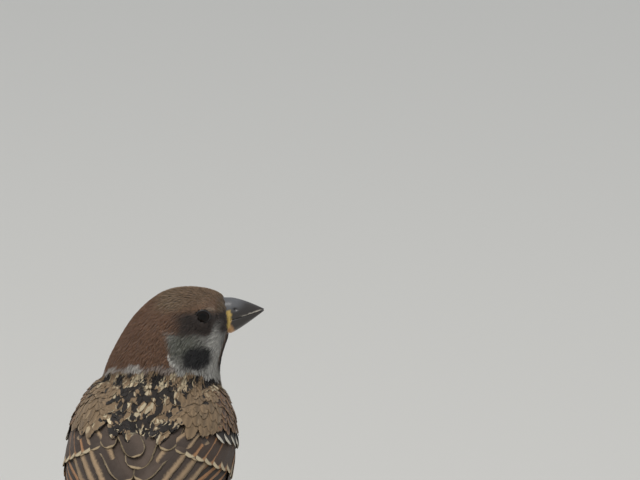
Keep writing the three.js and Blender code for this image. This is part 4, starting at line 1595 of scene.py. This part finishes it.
# Heading in degrees, length and radius of the toe, and length of its claw.
TOES = {"middle": (0, 13.4, 0.92, 4.6), "hind": (180, 7.6, 0.95, 5.6), "inner": (-29, 9.6, 0.86, 4.0),
        "outer": (27, 9.8, 0.84, 4.0)}
CLAW_RADII = np.array([[0, 0.62], [0.5, 0.46], [1, 0.2]])


def toe_heading(heading, side):
    turn = math.radians(FOOT_OUT + heading)
    return np.array([side * math.sin(turn), -math.cos(turn), 0.0])


claw_pieces = []
for side, label in SIDES:
    for toe, (heading, length, radius, claw) in TOES.items():
        ahead = toe_heading(heading, side)
        base = mirrored(SOLE, side) * np.array([1, 1, 0])
        t = np.linspace(0, 1, 18)[:, None]
        start = base + ahead * (length - 0.6) + HEAD_UP * (radius * 0.9)
        bend = base + ahead * (length + claw * 0.5) + HEAD_UP * (radius + 0.75)
        point = base + ahead * (length + claw) + HEAD_UP * 0.2
        line = (1 - t) ** 2 * start + 2 * t * (1 - t) * bend + t ** 2 * point
        radii = np.interp(t[:, 0], CLAW_RADII[:, 0], CLAW_RADII[:, 1]) * 0.97
        radii[-2:] *= np.array([0.85, 0.5])
        places, faces = tube(line, radii, HEAD_UP)
        solid = f"claw_{label}_{toe}"
        claw_pieces.append(place_mesh(solid + "_hook", places, faces, [solid]))
print("claws:", len(claw_pieces))

# %% [markdown]
# ## What the skin knows about itself
# The skin carries the same markings as the feathers over it. On the bare legs it also carries how far
# along the leg or toe each point is, so that the finish can draw the row of broad scales in front.

# %% Mark the skin
LEG_LENGTH = 17.5
BARE_BELOW = 17.2

skin_places, skin_normals = mesh_arrays(skin_mesh)
colour_corners(skin_mesh, "tint", plumage_paint(skin_places) * 0.75)
folded = skin_places.copy()
folded[:, 0] = MIDDLE_X + np.abs(skin_places[:, 0] - MIDDLE_X)
leg_line = unit(SOLE - ANKLE)
down_leg = dot(folded - ANKLE, leg_line)
off_leg = np.linalg.norm(folded - ANKLE - leg_line * down_leg[:, None], axis=-1)
toe_reach = np.linalg.norm((folded - SOLE)[:, :2], axis=-1)
on_toe = ramp(off_leg, 1.4, 2.0) * ramp(folded[:, 2], 4.5, 3.0)
along_leg = lerp(down_leg, LEG_LENGTH + toe_reach, np.round(on_toe))
front_face = lerp(-skin_normals[:, 1], skin_normals[:, 2], np.round(on_toe))
scale_place = skin_mesh.attributes.new("scale_place", "FLOAT_VECTOR", "POINT")
scale_place.data.foreach_set("vector", np.stack([front_face, along_leg, on_toe], -1).ravel())
bare = folded[:, 2] < BARE_BELOW
bare_faces = bare[[face.vertices[0] for face in skin_mesh.polygons]]
skin_mesh.polygons.foreach_set("material_index", bare_faces.astype(int))
print("bare leg squares:", int(bare_faces.sum()))

# %% [markdown]
# ## Building blocks of finishes
# A finish is a small network of nodes. A few helpers write it down as if it were a formula, which is
# shorter to read than a picture of wires and gives the same result each time.

# %% Helpers for nodes


def new_group(name, ins, outs):
    group = bpy.data.node_groups.new(name, "ShaderNodeTree")
    for label, kind, default in ins:
        socket = group.interface.new_socket(label, in_out="INPUT", socket_type=kind)
        if default is not None:
            socket.default_value = default
    for label, kind in outs:
        group.interface.new_socket(label, in_out="OUTPUT", socket_type=kind)
    return group, group.nodes.new("NodeGroupInput"), group.nodes.new("NodeGroupOutput")


def feed(tree, socket, value):
    """Give a socket another node's output, a number or a colour."""
    if isinstance(value, bpy.types.NodeSocket):
        tree.links.new(value, socket)
    elif isinstance(value, (int, float)):
        socket.default_value = value
    else:
        socket.default_value = (*value, 1)


def maths(tree, operation, *values):
    node = tree.nodes.new("ShaderNodeMath")
    node.operation = operation
    for socket, value in zip(node.inputs, values):
        feed(tree, socket, value)
    return node.outputs[0]


def soft_step(tree, value, low, high):
    node = tree.nodes.new("ShaderNodeMapRange")
    node.interpolation_type = "SMOOTHSTEP"
    for label, given in (("Value", value), ("From Min", low), ("From Max", high)):
        feed(tree, node.inputs[label], given)
    return node.outputs["Result"]


def mix_colours(tree, amount, a, b):
    node = tree.nodes.new("ShaderNodeMix")
    node.data_type = "RGBA"
    for label, value in (("Factor", amount), ("A", a), ("B", b)):
        feed(tree, next(s for s in node.inputs if s.name == label and s.enabled), value)
    return next(s for s in node.outputs if s.enabled)


def on_object(tree, kind, **settings):
    """A texture node that is fixed to the object, so that it stays with the bird."""
    node = tree.nodes.new(kind)
    where = tree.nodes.new("ShaderNodeTexCoord")
    tree.links.new(where.outputs["Object"], node.inputs["Vector"])
    for label, value in settings.items():
        feed(tree, node.inputs[label], value)
    return node


def noise(tree, scale, detail, roughness=0.5):
    node = on_object(tree, "ShaderNodeTexNoise", Scale=scale, Detail=detail, Roughness=roughness)
    return node.outputs[0]


def split_up(tree, vector):
    node = tree.nodes.new("ShaderNodeSeparateXYZ")
    tree.links.new(vector, node.inputs[0])
    return node.outputs


print("node helpers ready: maths, soft_step, mix_colours, noise, split_up")

# %% [markdown]
# ## Shared effects
# Three effects are used by several finishes, so each is built once as a group: the barbs that comb a
# vane, the way a vane's blotch and rim are cut out with ragged edges, and an uneven mottle.

# %% Build the shared effects
FULL_TURN = 2 * math.pi
VECTOR, NUMBER, COLOUR = "NodeSocketVector", "NodeSocketFloat", "NodeSocketColor"

barbs, barbs_in, barbs_out = new_group(
    "barbs",
    [("Vane", VECTOR, None), ("Spacing", NUMBER, 0.3), ("Slant", NUMBER, 1.1), ("Seed", NUMBER, 0.0)],
    [("Shade", NUMBER), ("Height", NUMBER)])
on_vane = split_up(barbs, barbs_in.outputs["Vane"])
sideways = maths(barbs, "ABSOLUTE", on_vane["X"])
slant = maths(barbs, "MULTIPLY", sideways, barbs_in.outputs["Slant"])
waver = maths(barbs, "MULTIPLY", noise(barbs, 900.0, 3.0), 0.35)
slanted = maths(barbs, "ADD", maths(barbs, "SUBTRACT", on_vane["Y"], slant), waver)
barb_number = maths(barbs, "DIVIDE", slanted, barbs_in.outputs["Spacing"])
phase = maths(barbs, "ADD", barb_number, barbs_in.outputs["Seed"])
wave = maths(barbs, "SINE", maths(barbs, "MULTIPLY", phase, FULL_TURN))
strength = maths(barbs, "MULTIPLY", wave, soft_step(barbs, noise(barbs, 260.0, 2.0), 0.3, 0.65))
quill = soft_step(barbs, sideways, 0.16, 0.03)
relief = maths(barbs, "ADD", maths(barbs, "MULTIPLY", strength, 0.5), quill)
barbs.links.new(strength, barbs_out.inputs["Shade"])
barbs.links.new(relief, barbs_out.inputs["Height"])

cut_out, cut_in, cut_end = new_group(
    "blotch_and_rim",
    [("Pattern", VECTOR, None), ("Tint", COLOUR, None), ("Rim", COLOUR, None), ("Blotch", COLOUR, None),
     ("Raggedness", NUMBER, 0.25), ("Grain", NUMBER, 0.0)],
    [("Colour", COLOUR)])
on_pattern = split_up(cut_out, cut_in.outputs["Pattern"])
ragged = maths(cut_out, "SUBTRACT", noise(cut_out, 1500.0, 3.0, 0.6), 0.5)
shift = maths(cut_out, "MULTIPLY", ragged, cut_in.outputs["Raggedness"])
shift = maths(cut_out, "ADD", shift, maths(cut_out, "MULTIPLY", cut_in.outputs["Grain"], 0.05))
rim_mask = soft_step(cut_out, maths(cut_out, "ADD", on_pattern["Y"], shift), 0.38, 0.62)
blotch_mask = soft_step(cut_out, maths(cut_out, "ADD", on_pattern["X"], shift), 0.42, 0.56)
with_rim = mix_colours(cut_out, rim_mask, cut_in.outputs["Tint"], cut_in.outputs["Rim"])
with_blotch = mix_colours(cut_out, blotch_mask, with_rim, cut_in.outputs["Blotch"])
cut_out.links.new(with_blotch, cut_end.inputs["Colour"])

mottle, mottle_in, mottle_out = new_group(
    "mottle", [("Scale", NUMBER, 400.0), ("Low", NUMBER, 0.8), ("High", NUMBER, 1.2)], [("Value", NUMBER)])
uneven = noise(mottle, mottle_in.outputs["Scale"], 4.0, 0.6)
reach = maths(mottle, "SUBTRACT", mottle_in.outputs["High"], mottle_in.outputs["Low"])
spread_out = maths(mottle, "ADD", maths(mottle, "MULTIPLY", uneven, reach), mottle_in.outputs["Low"])
mottle.links.new(spread_out, mottle_out.inputs["Value"])
print("shared effects:", barbs.name, cut_out.name, mottle.name)

# %% [markdown]
# ## Finishes of feathers
# Feathers are dull and slightly sheeny. Barbs darken and lighten them in fine slanted lines, and the
# quill stands up. Small, soft and long feathers differ in how coarse and how glossy that is.

# %% Make the finishes


def attribute(tree, name, output):
    node = tree.nodes.new("ShaderNodeAttribute")
    node.attribute_name = name
    return node.outputs[output]


def place_group(tree, group, **values):
    node = tree.nodes.new("ShaderNodeGroup")
    node.node_tree = group
    for label, value in values.items():
        feed(tree, node.inputs[label], value)
    return node.outputs


def bump(tree, shader, height, distance):
    node = tree.nodes.new("ShaderNodeBump")
    node.inputs["Distance"].default_value = distance
    node.inputs["Strength"].default_value = 1.0
    tree.links.new(height, node.inputs["Height"])
    tree.links.new(node.outputs["Normal"], shader.inputs["Normal"])


def scaled_colour(tree, colour, amount):
    node = tree.nodes.new("ShaderNodeVectorMath")
    node.operation = "SCALE"
    tree.links.new(colour, node.inputs[0])
    tree.links.new(amount, node.inputs["Scale"])
    return node.outputs[0]


def feather_material(name, roughness, sheen, spacing, barb_shade, barb_height, raggedness):
    material, tree, shader = new_material(name, roughness)
    pattern = attribute(tree, "pattern", "Vector")
    combed = place_group(tree, barbs, Vane=attribute(tree, "vane", "Vector"), Spacing=spacing,
                         Seed=split_up(tree, pattern)["Z"])
    colour = place_group(tree, cut_out, Pattern=pattern, Tint=attribute(tree, "tint", "Color"),
                         Rim=attribute(tree, "rim", "Color"), Blotch=attribute(tree, "blotch", "Color"),
                         Raggedness=raggedness, Grain=combed["Shade"])
    uneven = place_group(tree, mottle, Scale=700.0, Low=0.84, High=1.16)
    lines = maths(tree, "MULTIPLY_ADD", combed["Shade"], barb_shade, 1.0)
    final = scaled_colour(tree, colour["Colour"], maths(tree, "MULTIPLY", lines, uneven["Value"]))
    tree.links.new(final, shader.inputs["Base Color"])
    shader.inputs["Sheen Weight"].default_value = sheen
    shader.inputs["Sheen Roughness"].default_value = 0.5
    shader.inputs["Specular IOR Level"].default_value = 0.25
    bump(tree, shader, combed["Height"], barb_height)
    return material


# Name, roughness, sheen, then the barbs' spacing in mm, contrast and height in m, then raggedness.
small_feathers = feather_material("small_feathers", 0.82, 0.12, 0.11, 0.08, 0.00001, 0.2)
body_feathers = feather_material("body_feathers", 0.8, 0.12, 0.2, 0.14, 0.00003, 0.4)
long_feathers = feather_material("long_feathers", 0.66, 0.06, 0.26, 0.1, 0.00004, 0.25)
print("feather finishes:", small_feathers.name, body_feathers.name, long_feathers.name)

# %% [markdown]
# ## Finishes of down and legs
# The skin under the feathers reads as mottled down. The bare legs wear a row of broad scales in front
# and fine cells behind, as drawn by the places that the skin carries.

# %% Make the finishes of the skin
down, down_tree, down_shader = new_material("down", 0.95)
down_mottle = place_group(down_tree, mottle, Scale=1800.0, Low=0.6, High=1.3)["Value"]
down_colour = scaled_colour(down_tree, attribute(down_tree, "tint", "Color"), down_mottle)
down_tree.links.new(down_colour, down_shader.inputs["Base Color"])
bump(down_tree, down_shader, down_mottle, 0.0002)

SCUTE_LENGTH = 1.25
leg_skin, leg_tree, leg_shader = new_material("leg_skin", 0.5)
on_leg = split_up(leg_tree, attribute(leg_tree, "scale_place", "Vector"))
plate = maths(leg_tree, "FRACT", maths(leg_tree, "DIVIDE", on_leg["Y"], SCUTE_LENGTH))
on_plate = soft_step(leg_tree, plate, 0.0, 0.16)
groove = maths(leg_tree, "SUBTRACT", 1.0, on_plate)
front = soft_step(leg_tree, on_leg["X"], -0.1, 0.35)
cells = on_object(leg_tree, "ShaderNodeTexVoronoi", Scale=2200.0).outputs["Distance"]
plate_height = maths(leg_tree, "MULTIPLY", on_plate, front)
cell_height = maths(leg_tree, "MULTIPLY", cells, maths(leg_tree, "SUBTRACT", 1.0, front))
leg_mottle = place_group(leg_tree, mottle, Scale=500.0, Low=0.0, High=1.0)["Value"]
leg_colour = mix_colours(leg_tree, leg_mottle, paint(150, 112, 96), paint(184, 144, 124))
in_groove = maths(leg_tree, "MULTIPLY", maths(leg_tree, "MULTIPLY", groove, front), 0.6)
leg_colour = mix_colours(leg_tree, in_groove, leg_colour, paint(98, 70, 60))
leg_tree.links.new(leg_colour, leg_shader.inputs["Base Color"])
bump(leg_tree, leg_shader, maths(leg_tree, "SUBTRACT", plate_height, cell_height), 0.00016)
leg_shader.inputs["Specular IOR Level"].default_value = 0.4
print("skin finishes:", down.name, leg_skin.name)

# %% [markdown]
# ## Horn, gape, eyes, lids and claws
# Colour runs over the bill from a yellow base to dark horn, with a painted bluish reflection of the sky
# on the top of the ridge near its base, and pale wear along the cutting edge. These colours are painted
# on the corners, and the finish adds grain.

# %% Paint the hard parts
HORN = paint(50, 45, 42)
# A painted reflection of the sky, laid on the top of the bill's ridge.
PAINTED_SKY_SHEEN = paint(104, 105, 108)
WORN = paint(196, 188, 176)
YELLOW = paint(196, 166, 92)
ORANGE = paint(186, 140, 92)
EYE_BLACK, IRIS = paint(5, 4, 4), paint(22, 15, 11)
LID_GREY, LID_BLACK = paint(52, 46, 42), paint(26, 23, 22)
CLAW_DARK, CLAW_PALE = paint(84, 68, 58), paint(132, 110, 94)


def paint_corners(piece, colour_at):
    colour_corners(piece.data, "tint", colour_at(*mesh_arrays(piece.data)))


def bill_paint(places, normals):
    forward, up, out = to_head(places)
    above = up - parting_up(forward)
    ragged_edge = wobble(places, 0.5) * 0.35
    # The top of the upper half, near its base, is painted a lighter bluish grey: a painted reflection of the
    # sky, not a colour of the horn.
    upper = mixed(np.broadcast_to(HORN, places.shape), PAINTED_SKY_SHEEN,
                  ramp(above, 1.6, 3.6) * ramp(forward, 17.5, 13.5) * 0.65)
    upper = mixed(upper, WORN, ramp(np.abs(above), 0.75, 0.2) * ramp(forward + ragged_edge * 2, 14.8, 16.2)
                  * ramp(wobble(places, 0.35, 2.0), -0.25, 0.3) * ramp(forward, 21.5, 20.0))
    upper = mixed(upper, YELLOW, ramp(above, 3.2, 2.6) * ramp(forward + ragged_edge, 12.8, 12.1))
    # The nostril is painted much darker: painted shade inside its opening, which the shallow dent alone does
    # not give.
    upper = mixed(upper, HORN * 0.4, spot(forward, up, NOSTRIL_FORWARD, NOSTRIL_UP, 0.4, 0.22, 0.4))
    past_gape = ramp(forward + above * 0.45 + ragged_edge, 11.3, 12.5)
    lower = mixed(np.broadcast_to(ORANGE, places.shape), HORN, past_gape)
    lower = mixed(lower, YELLOW, ramp(forward + ragged_edge, 12.6, 11.9) * ramp(above, -2.6, -1.6))
    return mixed(lower, upper, ramp(above, -0.05, 0.05))


def eye_paint(places, normals):
    off_axis = np.degrees(np.arccos(np.clip(np.abs(dot(normals, HEAD_OUT)), 0, 1)))
    iris = ramp(off_axis, 19, 22) * ramp(off_axis, 42, 36)
    return mixed(np.broadcast_to(EYE_BLACK, places.shape), IRIS, iris)


def gape_paint(places, normals):
    return mixed(np.broadcast_to(YELLOW, places.shape), ORANGE, ramp(to_head(places)[0], 12.0, 15.0))


def lid_paint(places, normals):
    in_opening = ramp(np.linalg.norm(eye_away(places), axis=-1), 3.3, 3.15)
    return mixed(np.broadcast_to(LID_GREY, places.shape), LID_BLACK, in_opening)


def claw_paint(places, normals):
    return mixed(np.broadcast_to(CLAW_DARK, places.shape), CLAW_PALE, ramp(places[..., 2], 0.5, 1.4))


print("horn, worn edge and gape:", [colour.round(2).tolist() for colour in (HORN, WORN, YELLOW)])

# %% [markdown]
# ## Finishes of the hard parts
# Horn is polished by use, the gape is moist, the eye is a wet dark ball and the lids are dry skin. They
# differ only in gloss, clear coat and grain, so one function and one table make them all.

# %% Finish every piece


def hard_material(name, roughness, coat, mottle_scale, unevenness, height, specular=0.5):
    material, tree, shader = new_material(name, roughness)
    grain = place_group(tree, mottle, Scale=mottle_scale, Low=1 - unevenness, High=1 + unevenness)["Value"]
    final = scaled_colour(tree, attribute(tree, "tint", "Color"), grain)
    tree.links.new(final, shader.inputs["Base Color"])
    shader.inputs["Coat Weight"].default_value = coat
    shader.inputs["Coat Roughness"].default_value = 0.08
    shader.inputs["Specular IOR Level"].default_value = specular
    if height > 0:
        bump(tree, shader, grain, height)
    return material


# Pieces, their paint, then name, roughness, clear coat, grain per m, unevenness and grain height.
HARD_FINISHES = [
    (bill_pieces, bill_paint, hard_material("horn", 0.36, 0.15, 1400.0, 0.2, 0.00004)),
    ([gape], gape_paint, hard_material("gape_skin", 0.45, 0.1, 900.0, 0.14, 0.00006)),
    (eye_pieces, eye_paint, hard_material("eye_wet", 0.06, 0.0, 900.0, 0.08, 0.0, specular=0.2)),
    (lid_pieces, lid_paint, hard_material("eyelid", 0.6, 0.0, 1600.0, 0.3, 0.00012)),
    (claw_pieces, claw_paint, hard_material("claw_horn", 0.38, 0.2, 1200.0, 0.18, 0.00004)),
]
for pieces, painter, finish in HARD_FINISHES:
    for piece in pieces:
        paint_corners(piece, painter)
        piece.data.materials.append(finish)

skin_mesh.materials.append(down)
skin_mesh.materials.append(leg_skin)
for piece in coat_pieces:
    small = piece.name.startswith(("face", "cheek", "crown", "neck", "thigh"))
    piece.data.materials.append(small_feathers if small else body_feathers)
for piece in long_pieces:
    piece.data.materials.append(long_feathers)
print("finished feather pieces:", len(coat_pieces), "short,", len(long_pieces), "long")

# %% [markdown]
# ## The size and the triangle count
# The dressed bird's box and its number of triangles are printed. The dressed bird has
# to stay inside the imported model's box.

# %% Print the size and the triangle count
bpy.data.meshes.remove(outline_mesh)
bpy.context.view_layer.update()
dressed_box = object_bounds()
for label, corner in zip(("low", "high"), dressed_box):
    print("dressed", label, "mm:", [round(v / MM, 2) for v in corner])
triangle_counts = [sum(len(face.vertices) - 2 for face in piece.data.polygons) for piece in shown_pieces()]
print("triangles in all:", sum(triangle_counts))
